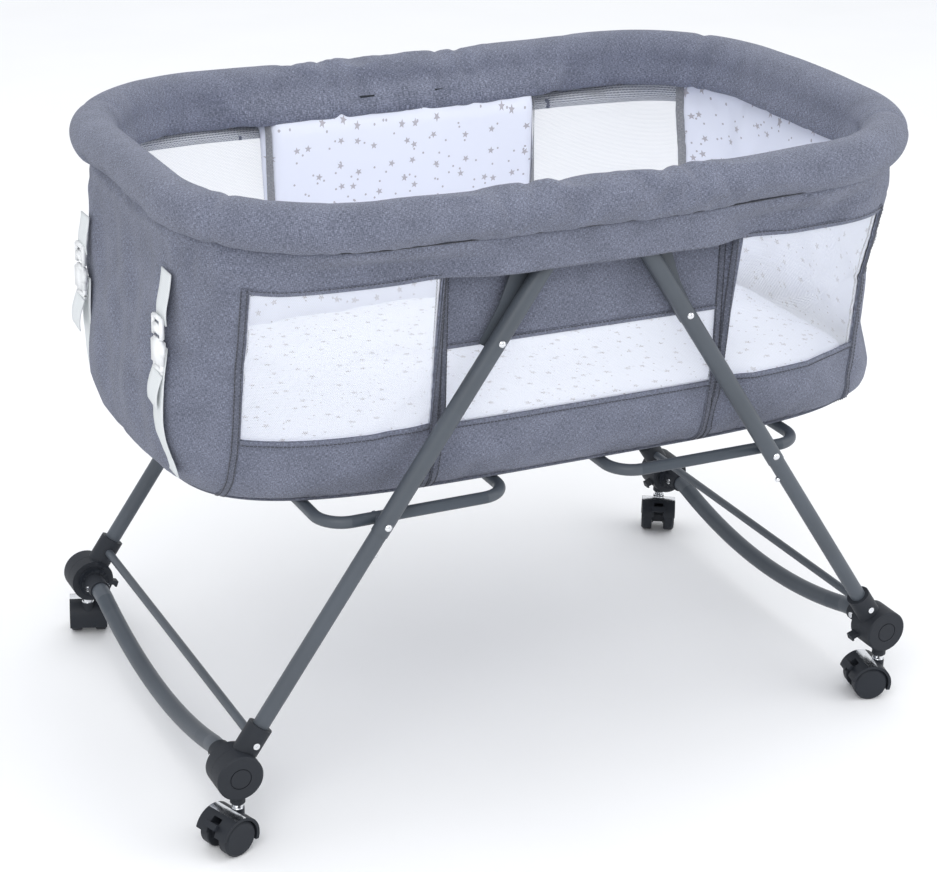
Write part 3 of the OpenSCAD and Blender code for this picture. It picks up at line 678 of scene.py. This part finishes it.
def pad_radius(side, s, angle, total):
    """Radius of the padded sleeve: pinched at the hinges, creased at the corners, drawn in at the seam."""
    from_middle = np.minimum(s, total - s)
    r = np.full_like(from_middle, PAD_R - 0.0006)
    top = 0.5 + 0.5 * np.sin(angle)
    tilt = 0.006 * np.cos(angle + side)
    # The pinch at the hinge, with a shallower crease on each side, then the seam across the sleeve.
    r += groove(from_middle, HINGE_X + tilt, 0.0045, 0.0042) * (0.35 + 0.65 * top)
    r += groove(from_middle, HINGE_X + 0.030 + 2 * tilt, 0.008, 0.0014) * top
    r += groove(from_middle, HINGE_X - 0.034 - tilt, 0.009, 0.0012) * top
    r += groove(from_middle, PAD_SEAM, 0.0040, 0.0030)
    # Gathers inside the corner.
    inner = np.clip(-np.cos(angle), 0, 1)
    for k, share in enumerate((0.22, 0.47, 0.72)):
        at = rim_straight(side) + share * math.pi / 2 * CORNER_R
        r += groove(from_middle, at + 0.004 * np.sin(2 * angle + k), 0.006, 0.0026) * inner
    r += groove(np.abs(turned(angle, SEAM_ANGLE)), 0.0, 0.10, 0.0020)
    near_panel = smooth((DROP_END - from_middle) / DROP_EASE)
    return r + hanging(angle, *SLEEVE_DROP) * (1 - near_panel) + hanging(angle, *MIDDLE_DROP) * near_panel


def hanging(angle, depth, centre, width):
    """The sleeve hangs down on the basket's inside: an added radius round one angle, in degrees, that fades
    over width towards the seam."""
    off = turned(angle, math.radians(centre))
    return depth * np.exp(-((off / np.where(off > 0, width, 0.42)) ** 2))


def make_pad(side):
    """Half of the padded rim, from the middle of the front round the end to the middle of the back."""
    total, round_n = rim_length(side), 40
    stations = np.linspace(0, total, round(total / PAD_GRID) + 1)
    angles = SEAM_ANGLE + np.linspace(0, 2 * math.pi, round_n, endpoint=False)
    centre, out, up = rim_frame(side, stations)
    s, a = np.meshgrid(stations, angles, indexing="ij")
    r = pad_radius(side, s, a, total)
    spoke = out[:, None] * np.cos(a)[..., None] + up[:, None] * np.sin(a)[..., None]
    points = centre[:, None] + spoke * r[..., None]
    uv = grid_uv(np.linspace(0, 2 * math.pi * PAD_R, round_n + 1), stations)
    # Rows run one way round the rim on both halves, so that faces look outwards.
    points, uv, centre, planned = (rows[::side] for rows in (points, uv, centre, r))
    piece = grid_piece(f"rim_pad_{SIDE_NAME[side]}", points, uv, CLOTH, closed=True)
    from_middle = np.minimum(s, total - s)
    ends = np.clip(1 - from_middle / 0.012, 0, 1)
    sewn = np.where(np.abs(turned(a, SEAM_ANGLE)) < 0.12, 1.0, 0.0)
    pinch = np.exp(-(((from_middle - HINGE_X) / 0.006) ** 2))
    hold = np.maximum(np.maximum(ends, sewn), pinch * 0.7)[::side]
    simulate(piece, hold.ravel(), pressure=2.2, grow=0.035, bend=0.35, cap=0.0032)
    clamp_tube(piece, centre, planned)
    applied(piece, "SUBSURF", levels=1, render_levels=1)
    bend_at_hinge(piece)
    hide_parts(f"{SIDE_NAME[side]}_rail_pad", "centre_pads")


def clamp_tube(piece, centre, planned):
    """Keeps each point of a tube near its planned distance from the tube's centreline."""
    points = coordinates(piece).reshape(*planned.shape, 3)
    spoke = points - centre[:, None]
    r = np.linalg.norm(spoke, axis=2)
    fit = np.clip(r, planned - PAD_SAG, planned + PAD_PUFF) / r
    set_coordinates(piece, (centre[:, None] + spoke * fit[..., None]).reshape(-1, 3))


# ---------------- the basket's skin
def split(keys, step):
    """Values that include the keys and are no more than a step apart."""
    out = [keys[0]]
    for a, b in zip(keys, keys[1:]):
        n = max(1, math.ceil((b - a) / step))
        out += list(a + (b - a) * np.arange(1, n + 1) / n)
    return np.array(out)


def outline(z, around):
    """Plan outline of the wall at height z. A column holds its place along the long wall, from 0 to 1,
    then its share of the rounded end, from 1 to 2, and the signs of x and y."""
    heights = [BASE_Z + r[0] for r in RINGS]
    left, right, b, power = (np.interp(z, heights, [r[k] for r in RINGS]) for k in (1, 2, 3, 4))
    left, right = BASKET_L - left, COVER[1].x - right
    a, slide = (right + left) / 2, (right - left) / 2
    place, sign_x, sign_y = around.T
    x = sign_x * np.minimum(place, 1) * END_X
    y = b * (1 - (np.abs(x - slide) / a) ** power) ** (1 / power)
    for side in (LEFT, RIGHT):
        t = np.linspace(math.acos(((END_X - side * slide) / a) ** (power / 2)), 0, 400)
        end_x = side * slide + a * np.cos(t) ** (2 / power)
        end_y = b * np.sin(t) ** (2 / power)
        run = run_of(np.hypot(np.diff(end_x), np.diff(end_y)))
        mine = (place > 1) & (sign_x == side)
        x[mine] = side * np.interp(place[mine] - 1, run / run[-1], end_x)
        y[mine] = np.interp(place[mine] - 1, run / run[-1], end_y)
    return x, sign_y * y


def skin_columns():
    """The columns round the outline, with vertical lines at every window edge, and their run in metres."""
    long_wall = split([0.0, TAPE_IN, MIDDLE_HALF, TAPE_OUT, WINDOW_OUT, END_X], GRID) / END_X
    quarter = np.concatenate([long_wall, np.linspace(1, 2, 37)[1:]])
    x, y = outline(WALL_MID_Z, np.stack([quarter, 0 * quarter + 1, 0 * quarter + 1], 1))
    run = run_of(np.hypot(np.diff(x), np.diff(y)))
    length = run[-1]
    parts, runs = [], []
    for k, (sign_x, sign_y) in enumerate(((1, -1), (1, 1), (-1, 1), (-1, -1))):
        q, d = (quarter[:-1], run[:-1]) if k % 2 == 0 else (quarter[:0:-1], length - run[:0:-1])
        parts.append(np.stack([q, 0 * q + sign_x, 0 * q + sign_y], 1))
        runs.append(k * length + d)
    return np.concatenate(parts), np.concatenate(runs + [[4 * length]])


def skin_rows():
    """Heights of the grid's rows, with one at every window edge."""
    wall = split([BASE_Z + 0.004, MIDDLE_Z[0], SIDE_Z[0], MIDDLE_Z[1], SIDE_Z[1], WALL_TOP], GRID)
    return np.concatenate([wall, split([WALL_TOP, ROW_TOP], ROUND_GRID)[1:]])


AROUND, RUNS = skin_columns()
ROWS = skin_rows()


def middle_share(x):
    """1 in the wall's middle stretch, behind the legs, and 0 past the tapes."""
    return smooth((TAPE_OUT - np.abs(x)) / (TAPE_OUT - TAPE_IN))


def stepped(x, y):
    """The wall's middle stretch steps in behind the legs."""
    inside = middle_share(x)
    return np.sign(y) * (np.abs(y) * (1 - inside) + np.minimum(np.abs(y), MIDDLE_Y) * inside)


def seam_points():
    """Where the wall meets the rim: under it at the sides, and inside its sleeve at the middle."""
    x, y = outline(WALL_TOP, AROUND)
    found = np.zeros((len(AROUND), 3))
    for side in (LEFT, RIGHT):
        seam, _ = seam_line(side, np.linspace(0, rim_length(side), 2500), WALL_SEAM_DEPTH)
        mine = np.sign(x + 1e-9) == side
        near = np.hypot(seam[None, :, 0] - x[mine, None], seam[None, :, 1] - y[mine, None]).argmin(1)
        found[mine] = seam[near]
    lift = PANEL_TOP_Z - RIM_Z + PAD_R * -math.sin(SEAM_ANGLE)
    middle = np.stack([x, np.sign(y) * (MIDDLE_Y + 0.008), found[:, 2] + lift], 1)
    inside = middle_share(x)[:, None]
    return found * (1 - inside) + middle * inside


def folds(z, run):
    """Soft upright folds of the end walls, and small gathers under the seam at the corners."""
    end = np.clip((AROUND[:, 0] - 1.0) / 0.25, 0, 1)[None, :]
    corner = np.exp(-(((AROUND[:, 0] - 1.25) / 0.35) ** 2))[None, :]
    z, run = z[:, None], run[None, :]
    body = np.clip((z - FOLDS_Z[0]) / 0.05, 0, 1) * np.clip((FOLDS_Z[1] - z) / 0.04, 0, 1)
    soft = 0.0028 * np.sin(run * 64 + 2.2 * np.sin(z * 19)) + 0.0014 * np.sin(run * 131 + z * 47)
    pulled = 0.0011 * np.sin(run * 300) * np.exp(-(((z - GATHER_Z) / 0.016) ** 2))
    return soft * end * body + pulled * corner


def make_skin():
    """Grid of points of the basket wall, rows from the bottom up, and its UVs."""
    seam = seam_points()
    points = np.zeros((len(ROWS), len(AROUND), 3))
    top_share = (ROWS - WALL_TOP) / (ROWS[-1] - WALL_TOP)
    for i, z in enumerate(ROWS):
        x, y = outline(min(z, WALL_TOP), AROUND)
        y = stepped(x, y)
        share = np.clip(top_share[i], 0, 1)
        inside = middle_share(x)
        ease = smooth(share) * (1 - inside) + share ** 2 * inside
        points[i, :, 0] = x * (1 - ease) + seam[:, 0] * ease
        points[i, :, 1] = y * (1 - ease) + seam[:, 1] * ease
        points[i, :, 2] = min(z, WALL_TOP) * (1 - share) + seam[:, 2] * share
    uv = grid_uv(RUNS, ROWS)
    piece = grid_piece("skin", points, uv, CLOTH, closed=True)
    hold = np.zeros((len(ROWS), len(AROUND)))
    hold[0] = hold[-1] = 1
    x, z = np.abs(points[..., 0]), points[..., 2]
    hold[(x < TAPE_OUT + 0.002) & (z > MIDDLE_Z[0] - 0.02)] = 1
    for edge in (WINDOW_OUT, TAPE_OUT):
        hold[(np.abs(x - edge) < 0.003) & (z > SIDE_Z[0] - 0.02)] = 0.5
    simulate(piece, hold.ravel(), pressure=0.5, grow=0.012, bend=1.0, cap=0.006, frames=16)
    shaped = coordinates(piece).reshape(points.shape)
    bpy.data.objects.remove(piece)
    limit = np.where(np.abs(shaped[..., 0]) < TAPE_IN, MIDDLE_Y + 0.0015, SIDE_LIMIT_Y)
    shaped[..., 1] = np.where(z < WALL_TOP, np.clip(shaped[..., 1], -limit, limit), shaped[..., 1])
    shaped += normals_of(shaped) * folds(ROWS, RUNS[:-1])[..., None]
    return shaped, uv


SKIN, SKIN_UV = make_skin()
SKIN_N = normals_of(SKIN)
COLUMN_X, COLUMN_Y = outline(WALL_MID_Z, AROUND)
# The middles of the grid's cells, and each column's window top.
CELL_X = np.abs((COLUMN_X + np.roll(COLUMN_X, -1)) / 2)[None, :]
CELL_Z = ((ROWS[:-1] + ROWS[1:]) / 2)[:, None]
CELL_TOP = np.where(AROUND[:, 2] > 0, WINDOW_TOP[BACK], WINDOW_TOP[FRONT])[None, :]
ABOVE_WINDOW = (CELL_X > TAPE_OUT) & (CELL_X < WINDOW_OUT) & (CELL_Z > CELL_TOP)


def window_mask(grow=0.0):
    """True for the grid's cells that lie in a window."""
    x_ok = (CELL_X > TAPE_OUT - grow) & (CELL_X < WINDOW_OUT + grow)
    side = x_ok & (CELL_Z > SIDE_Z[0] - grow) & (CELL_Z < CELL_TOP + grow)
    middle = (CELL_X < TAPE_IN + grow) & (CELL_Z > MIDDLE_Z[0] - grow) & (CELL_Z < MIDDLE_Z[1] + grow)
    return side | middle


def in_basket(piece, node=None):
    """A piece of the basket, in place of a CAD node if one is named: that node is hidden, and the piece is
    attached to the root body with a mesh of its own."""
    if node:
        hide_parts(node)
    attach(piece, "root")
    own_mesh(piece)


def make_cover():
    """The grey outer wall with its window openings."""
    cover = grid_piece("basket_cover", SKIN, SKIN_UV, CLOTH, keep=~window_mask(), closed=True)
    thickened(cover, CLOTH_T)
    in_basket(cover, "outer_cover")


def make_windows():
    """Mesh panels: in the window openings, and up behind the grey band at the sides."""
    inner = SKIN - SKIN_N * NET_GAP
    panels = grid_piece("mesh_panels", inner, SKIN_UV, NET, keep=window_mask() | ABOVE_WINDOW, closed=True)
    in_basket(panels, "mesh_windows")


def make_liner():
    """The printed lining: middle panels and ends with their corners, from a little above the foot of the wall."""
    keep = ~window_mask(LINER_HEM) & (CELL_Z > BASE_Z + LINER_FOOT) & ~ABOVE_WINDOW
    inner = SKIN - SKIN_N * LINER_GAP
    liner = grid_piece("printed_liner", inner, SKIN_UV, STARS, keep=keep, closed=True)
    thickened(liner, LINER_T)
    in_basket(liner, "liner")


def column_near(x, face):
    """The column that stands at x on the front or the back."""
    return int((np.abs(COLUMN_X - x) + np.where(np.sign(COLUMN_Y) == face, 0, 10)).argmin())


def row_near(z):
    return int(np.abs(ROWS - z).argmin())


def column_line(x, face, low, high, lift=0.0):
    """Part of a column, lifted off the wall, and its outward directions."""
    j, i0, i1 = column_near(x, face), row_near(low), row_near(high)
    return SKIN[i0:i1 + 1, j] + SKIN_N[i0:i1 + 1, j] * lift, SKIN_N[i0:i1 + 1, j]


def row_line(z, x0, x1, face):
    """Part of a row, and its outward directions."""
    i = row_near(z)
    a, b = sorted((column_near(x0, face), column_near(x1, face)))
    span = list(range(a, b + 1))
    if b - a > len(AROUND) / 2:
        span = list(range(b, len(AROUND))) + list(range(0, a + 1))
    return SKIN[i, span], SKIN_N[i, span]


def shifted(line, sideways):
    """A line moved across the cloth."""
    path, out = line
    return path + np.cross(unit(np.gradient(path, axis=0)), out) * sideways, out


def make_tapes():
    """Binding tapes along the window edges, outside and inside, with their stitching."""
    tapes, inner, sewn = [], [], []
    seat = TAPE_W / 2 + 0.00025
    for face in (FRONT, BACK):
        for side in (LEFT, RIGHT):
            for x, aside, thickness, crown, proud in (
                (TAPE_OUT - 0.0045, None, 0.0016, 0.0006, 0.0022),
                (TAPE_IN, None, 0.0016, 0.0006, 0.0022),
                (WINDOW_OUT, -seat, 0.0014, 0.0005, 0.0020),
            ):
                line = column_line(side * x, face, ROWS[0], TAPE_TOP)
                if aside is not None:
                    line = shifted(line, face * side * aside)
                tapes.append(ribbon("tape", *line, TAPE_W, thickness, BINDING, crown=crown))
                raised = line[0] + line[1] * proud, line[1]
                sewn += [shifted(raised, way * STITCH_ASIDE) for way in (-1, 1)]
            for x in (TAPE_IN + 0.004, WINDOW_OUT + 0.004):
                path, out = column_line(side * x, face, MIDDLE_Z[0], ROWS[-1], -INNER_TAPE_GAP)
                inner.append(ribbon("tape", path, -out, 0.010, 0.0008, INNER_BINDING))
    made = joined("window_tapes", tapes), joined("inner_tapes", inner), stitches("tape_stitches", sewn)
    for piece in made:
        in_basket(piece)


def make_hems():
    """Turned hems along the window's top and bottom edges."""
    hems, sewn = [], []
    for face in (FRONT, BACK):
        for ends, low, high in (
            ((-TAPE_OUT, -WINDOW_OUT), SIDE_Z[0], WINDOW_TOP[face]),
            ((TAPE_OUT, WINDOW_OUT), SIDE_Z[0], WINDOW_TOP[face]),
            ((-TAPE_IN, TAPE_IN), *MIDDLE_Z),
        ):
            for z, lean in ((low, -HEM_W / 2), (high, HEM_W / 2)):
                path, out = row_line(z, *ends, face)
                path = path + np.array([0, 0, lean])
                hems.append(ribbon("hem", path, out, HEM_W, 0.0010, CLOTH, crown=0.0003))
                sewn.append((path + out * 0.0015 + np.array([0, 0, lean * 0.6]), out))
    for piece in (joined("window_hems", hems), stitches("hem_stitches", sewn)):
        in_basket(piece)


def make_flap(face):
    """The valance that hangs in front of the leg tops, from the rim's seam."""
    rows, cols, merge_from, merge_to = 14, 61, 0.118, TAPE_OUT + 0.004
    x = np.linspace(-FLAP_REACH, FLAP_REACH, cols)
    top_y = RIM_W + (PAD_R - 0.002) * math.cos(SEAM_ANGLE)
    top_z = RIM_Z + (PAD_R - 0.002) * math.sin(SEAM_ANGLE)
    beside = [SKIN[:, column_near(side * (TAPE_OUT + 0.012), face)] for side in (LEFT, RIGHT)]
    edge = smooth((np.abs(x) - merge_from) / (merge_to - merge_from))
    tuck = np.clip((np.abs(x) - TAPE_OUT - 0.004) / 0.024, 0, 1)
    rise = np.where(x < 0, math.tan(REACH[LEFT][1]), math.tan(REACH[RIGHT][1]))
    lift = np.maximum(np.abs(x) - HINGE_X, 0) * rise
    hang = FLAP[1].y + 0.0008 * np.sin(x * 55) + 0.0005 * np.sin(x * 131 + 1)
    low = FLAP_Z + (WINDOW_TOP[face] - SIDE_Z[1]) * edge
    points = np.zeros((rows, cols, 3))
    for i, share in enumerate(np.linspace(0, 1, rows)):
        z = low + (top_z - low) * share + lift * share
        wall = np.where(x < 0, *(np.interp(z, line[:, 2], np.abs(line[:, 1])) for line in beside))
        free = hang * (1 - share ** 0.7) + top_y * share ** 0.7
        points[i, :, 0] = x
        points[i, :, 1] = face * (free * (1 - edge) + (wall + 0.0018 - 0.0034 * tuck) * edge)
        points[i, :, 2] = z
    uv = grid_uv(x, points[:, 0, 2])
    points, uv = points[:, ::-face], uv[:, ::-face]
    flap = grid_piece(f"leg_valance_{FACE_NAME[face]}", points, uv, CLOTH)
    thickened(flap, CLOTH_T)
    in_basket(flap, "leg_flaps")


def make_piping(radius=0.0019, sides=10):
    """A round cord of cloth round the wall's foot."""
    path = SKIN[0] + SKIN_N[0] * 0.0006
    along = unit(np.roll(path, -1, 0) - np.roll(path, 1, 0))
    side = unit(np.cross(along, np.array([0, 0, 1.0])))
    rise = np.cross(side, along)
    angles = np.linspace(0, 2 * math.pi, sides, endpoint=False)[:, None, None]
    ring = path + radius * (side * np.cos(angles) + rise * np.sin(angles))
    uv = grid_uv(run_along(np.vstack([path, path[:1]])), np.linspace(0, 2 * math.pi * radius, sides + 1))
    piping = grid_piece("base_piping", np.vstack([ring, ring[:1]]), uv, BINDING, closed=True)
    in_basket(piping)


def make_base():
    """The grey bottom panel."""
    x, y = outline(BASE_Z, AROUND)
    rows = []
    for share in (0.25, 0.5, 0.72, 0.86, 0.95):
        grow = 1 + 0.045 * share ** 8
        z = np.full_like(x, BASE_Z + 0.0003 + 0.004 * share ** 8)
        rows.append(np.stack([x * share * grow, y * share * grow, z], 1))
    points = np.array(rows + [SKIN[0]])
    panel = grid_piece("base_panel", points, plan_uv(points), CLOTH, closed=True)
    fill_holes(panel, near=BASKET_L * 0.5)
    thickened(panel, CLOTH_T)
    in_basket(panel)


def fitted(x, low, high):
    """Values scaled on each side of zero, so that they run from low to high."""
    return np.where(x > 0, x / x.max() * high, x / x.min() * low)


def make_board():
    """The folding board inside, with the basket's outline and rounded edges."""
    low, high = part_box("base_board")
    edge, middle = (high.z - low.z) / 2, (low.z + high.z) / 2
    x, y = outline(BASE_Z, AROUND)
    x, y = fitted(x, low.x, high.x), y / y.max() * high.y
    rows = []
    for turn in (math.pi * k / 8 - math.pi / 2 for k in range(9)):
        inset = edge * (1 - math.cos(turn))
        rows.append(np.stack([x - np.sign(x) * inset, y - np.sign(y) * inset,
                              np.full_like(x, middle + edge * math.sin(turn))], 1))
    points = np.array(rows)
    board = grid_piece("folding_board", points, plan_uv(points), BOARD, closed=True)
    fill_holes(board)
    in_basket(board, "base_board")


def make_mattress():
    """A thin cushion with a crowned top and an edge seam, puffed by simulation."""
    low, high = MATTRESS
    layers = [
        # share of the height, share of the outline
        (0.0, 0.0), (0.0, 0.35), (0.0, 0.62), (0.0, 0.82), (0.0, 0.93), (0.12, 0.985), (0.35, 1.0),
        (0.60, 1.0), (0.84, 0.985), (0.96, 0.93), (1.0, 0.82), (1.0, 0.62), (1.0, 0.35), (1.0, 0.0),
    ]
    numbers = range(len(layers))
    levels = split(numbers, 0.34)
    height = np.interp(levels, numbers, [q[0] for q in layers])[:, None]
    share = np.maximum(np.interp(levels, numbers, [q[1] for q in layers]), 0.004)[:, None]
    x, y = outline(0.40, AROUND[::2])
    x, y = fitted(x, low.x + 0.003, high.x - 0.003), y / y.max() * (high.y - 0.003)
    z = low.z + (high.z - 0.006 - low.z) * height
    points = np.stack(np.broadcast_arrays(x * share, y * share, z), axis=2)
    piece = grid_piece("mattress_cushion", points, plan_uv(points), STARS, closed=True)
    fill_holes(piece)
    floor = (coordinates(piece)[:, 2] < low.z + 0.004).astype(float)
    simulate(piece, floor, pressure=1.6, grow=0.006, bend=3.0, cap=0.005, frames=14)
    placed = coordinates(piece)
    placed[:, 2] = np.clip(placed[:, 2], low.z, high.z + 0.001)
    set_coordinates(piece, placed)
    in_basket(piece, "mattress")


def make_pad_trim():
    """Seam thread under the rim, where the wall is sewn to the padded sleeve."""
    for side in (LEFT, RIGHT):
        path, out = seam_line(side, np.linspace(0.001, rim_length(side) - 0.001, 420), THREAD_DEPTH)
        seam = ribbon(f"rim_seam_{SIDE_NAME[side]}", path, out, 0.0030, 0.0010, THREAD)
        bend_at_hinge(seam)


def make_straps():
    """Webbing at the strapped end: an upper and a lower length joined by a side-release buckle."""
    low_z, high_z = BUCKLES[0].z + BUCKLE_LIFT, BUCKLES[1].z + BUCKLE_LIFT
    for face in (FRONT, BACK):
        y = face * (STRAPS[1].y - 0.010)
        name = FACE_NAME[face]
        heights = np.linspace(STRAPS[0].z + 0.006, STRAPS[1].z - (0.016 if face == BACK else 0.003), 46)
        wall = np.array([end_wall_x(y, z) for z in heights])
        wall = np.convolve(np.pad(wall, 4, "edge"), np.ones(9) / 9, "valid")
        bow = 0.0040 * np.exp(-(((heights - high_z) / 0.022) ** 2))
        ripple = 0.0004 * np.sin(heights * 95 + face)
        path = np.stack([wall - 0.0032 - bow - ripple, y + 0.0010 * np.sin(heights * 30 + face), heights], 1)
        buckle_x = float(np.interp((low_z + high_z) / 2, heights, wall)) - 0.0095
        t = np.linspace(0, 1, 12)
        tail_x = buckle_x - 0.001 - 0.005 * np.sin(t * 2.2)
        tail = np.stack([tail_x, y + 0.006 * t, low_z + 0.003 - 0.036 * t], 1)
        parts = []
        for part, line, thickness in (
            ("low", path[heights < low_z + 0.030], STRAP_T),
            ("high", path[heights > high_z - 0.012], STRAP_T),
            ("tail", tail, TAIL_T),
        ):
            out = np.broadcast_to([-1.0, 0, 0], line.shape)
            parts.append(ribbon(f"strap_{part}_{name}", line, out, STRAP_W, thickness, WEBBING))
        in_basket(joined(f"end_strap_{name}", parts), "end_straps")
        make_buckle(f"strap_buckle_{name}", buckle_x, y)


def end_wall_x(y, z):
    """Where the strapped end's wall stands at y and z."""
    row = SKIN[row_near(z)]
    row = row[row[:, 0] < -BASKET_L * 0.8]
    return float(row[np.abs(row[:, 1] - y).argmin(), 0])


def make_buckle(name, x, y):
    """A side-release buckle: a hollow body, two sprung prongs and two strap bars."""
    low, high = BUCKLES[0].z + BUCKLE_LIFT, BUCKLES[1].z + BUCKLE_LIFT
    blocks = [
        (0, low + 0.024, (0.0085, 0.026, 0.028)),
        (0, low + 0.006, (0.0060, 0.024, 0.004)),
        (0, high - 0.004, (0.0055, 0.024, 0.004)),
        (0, low + 0.048, (0.0060, 0.022, 0.010)),
    ]
    for way in (-1, 1):
        blocks += [
            (way * 0.0115, low + 0.050, (0.0050, 0.0035, 0.022)),
            (way * 0.0135, low + 0.028, (0.0060, 0.0035, 0.014)),
            (way * 0.0105, low + 0.008, (0.0045, 0.003, 0.012)),
            (way * 0.0105, high - 0.008, (0.0045, 0.003, 0.012)),
        ]
    parts = [rounded_block((x, y + aside, z), size) for aside, z, size in blocks]
    in_basket(joined(name, parts), "strap_buckles")


def rounded_block(centre, size):
    """A white plastic block with rounded edges."""
    mesh = bmesh.new()
    bmesh.ops.create_cube(mesh, size=1)
    bmesh.ops.scale(mesh, vec=size, verts=mesh.verts)
    bmesh.ops.bevel(mesh, geom=list(mesh.edges), offset=min(size) * 0.32, segments=3, affect="EDGES")
    bmesh.ops.translate(mesh, vec=centre, verts=mesh.verts)
    data = bpy.data.meshes.new("block")
    mesh.to_mesh(data)
    mesh.free()
    data.materials.append(WHITE_PLASTIC)
    data.polygons.foreach_set("use_smooth", [True] * len(data.polygons))
    return linked("block", data)


make_pad(LEFT)
make_pad(RIGHT)
make_pad_trim()
make_base()
make_piping()
make_board()
make_cover()
make_windows()
make_liner()
make_tapes()
make_hems()
make_flap(FRONT)
make_flap(BACK)
make_mattress()
make_straps()


# ---------------- studio
def make_studio():
    """A pale floor, a pale surround and three soft lights."""
    far = 30
    corners = [(-far, -far, 0), (far, -far, 0), (far, far, 0), (-far, far, 0)]
    new_piece("floor", corners, [(0, 1, 2, 3)], pale_floor("pale_floor"))
    world = bpy.data.worlds.new("studio")
    world.use_nodes = True
    surround = world.node_tree.nodes["Background"].inputs
    surround[0].default_value = (0.95, 0.97, 1.0, 1)
    surround[1].default_value = 0.95
    bpy.context.scene.world = world
    bpy.context.scene.view_settings.view_transform = "Standard"
    for name, place, power, size in (
        ("key", (-1.8, -2.6, 2.8), 46, 2.2),
        ("fill", (2.6, -1.6, 2.0), 20, 2.5),
        ("top", (0.2, 0.4, 3.4), 24, 2.6),
    ):
        data = bpy.data.lights.new(name, "AREA")
        data.energy = power
        data.size = size
        light = linked(name, data)
        light.location = place
        light.rotation_euler = (Vector((0, 0, 0.4)) - Vector(place)).to_track_quat("-Z", "Y").to_euler()


make_studio()
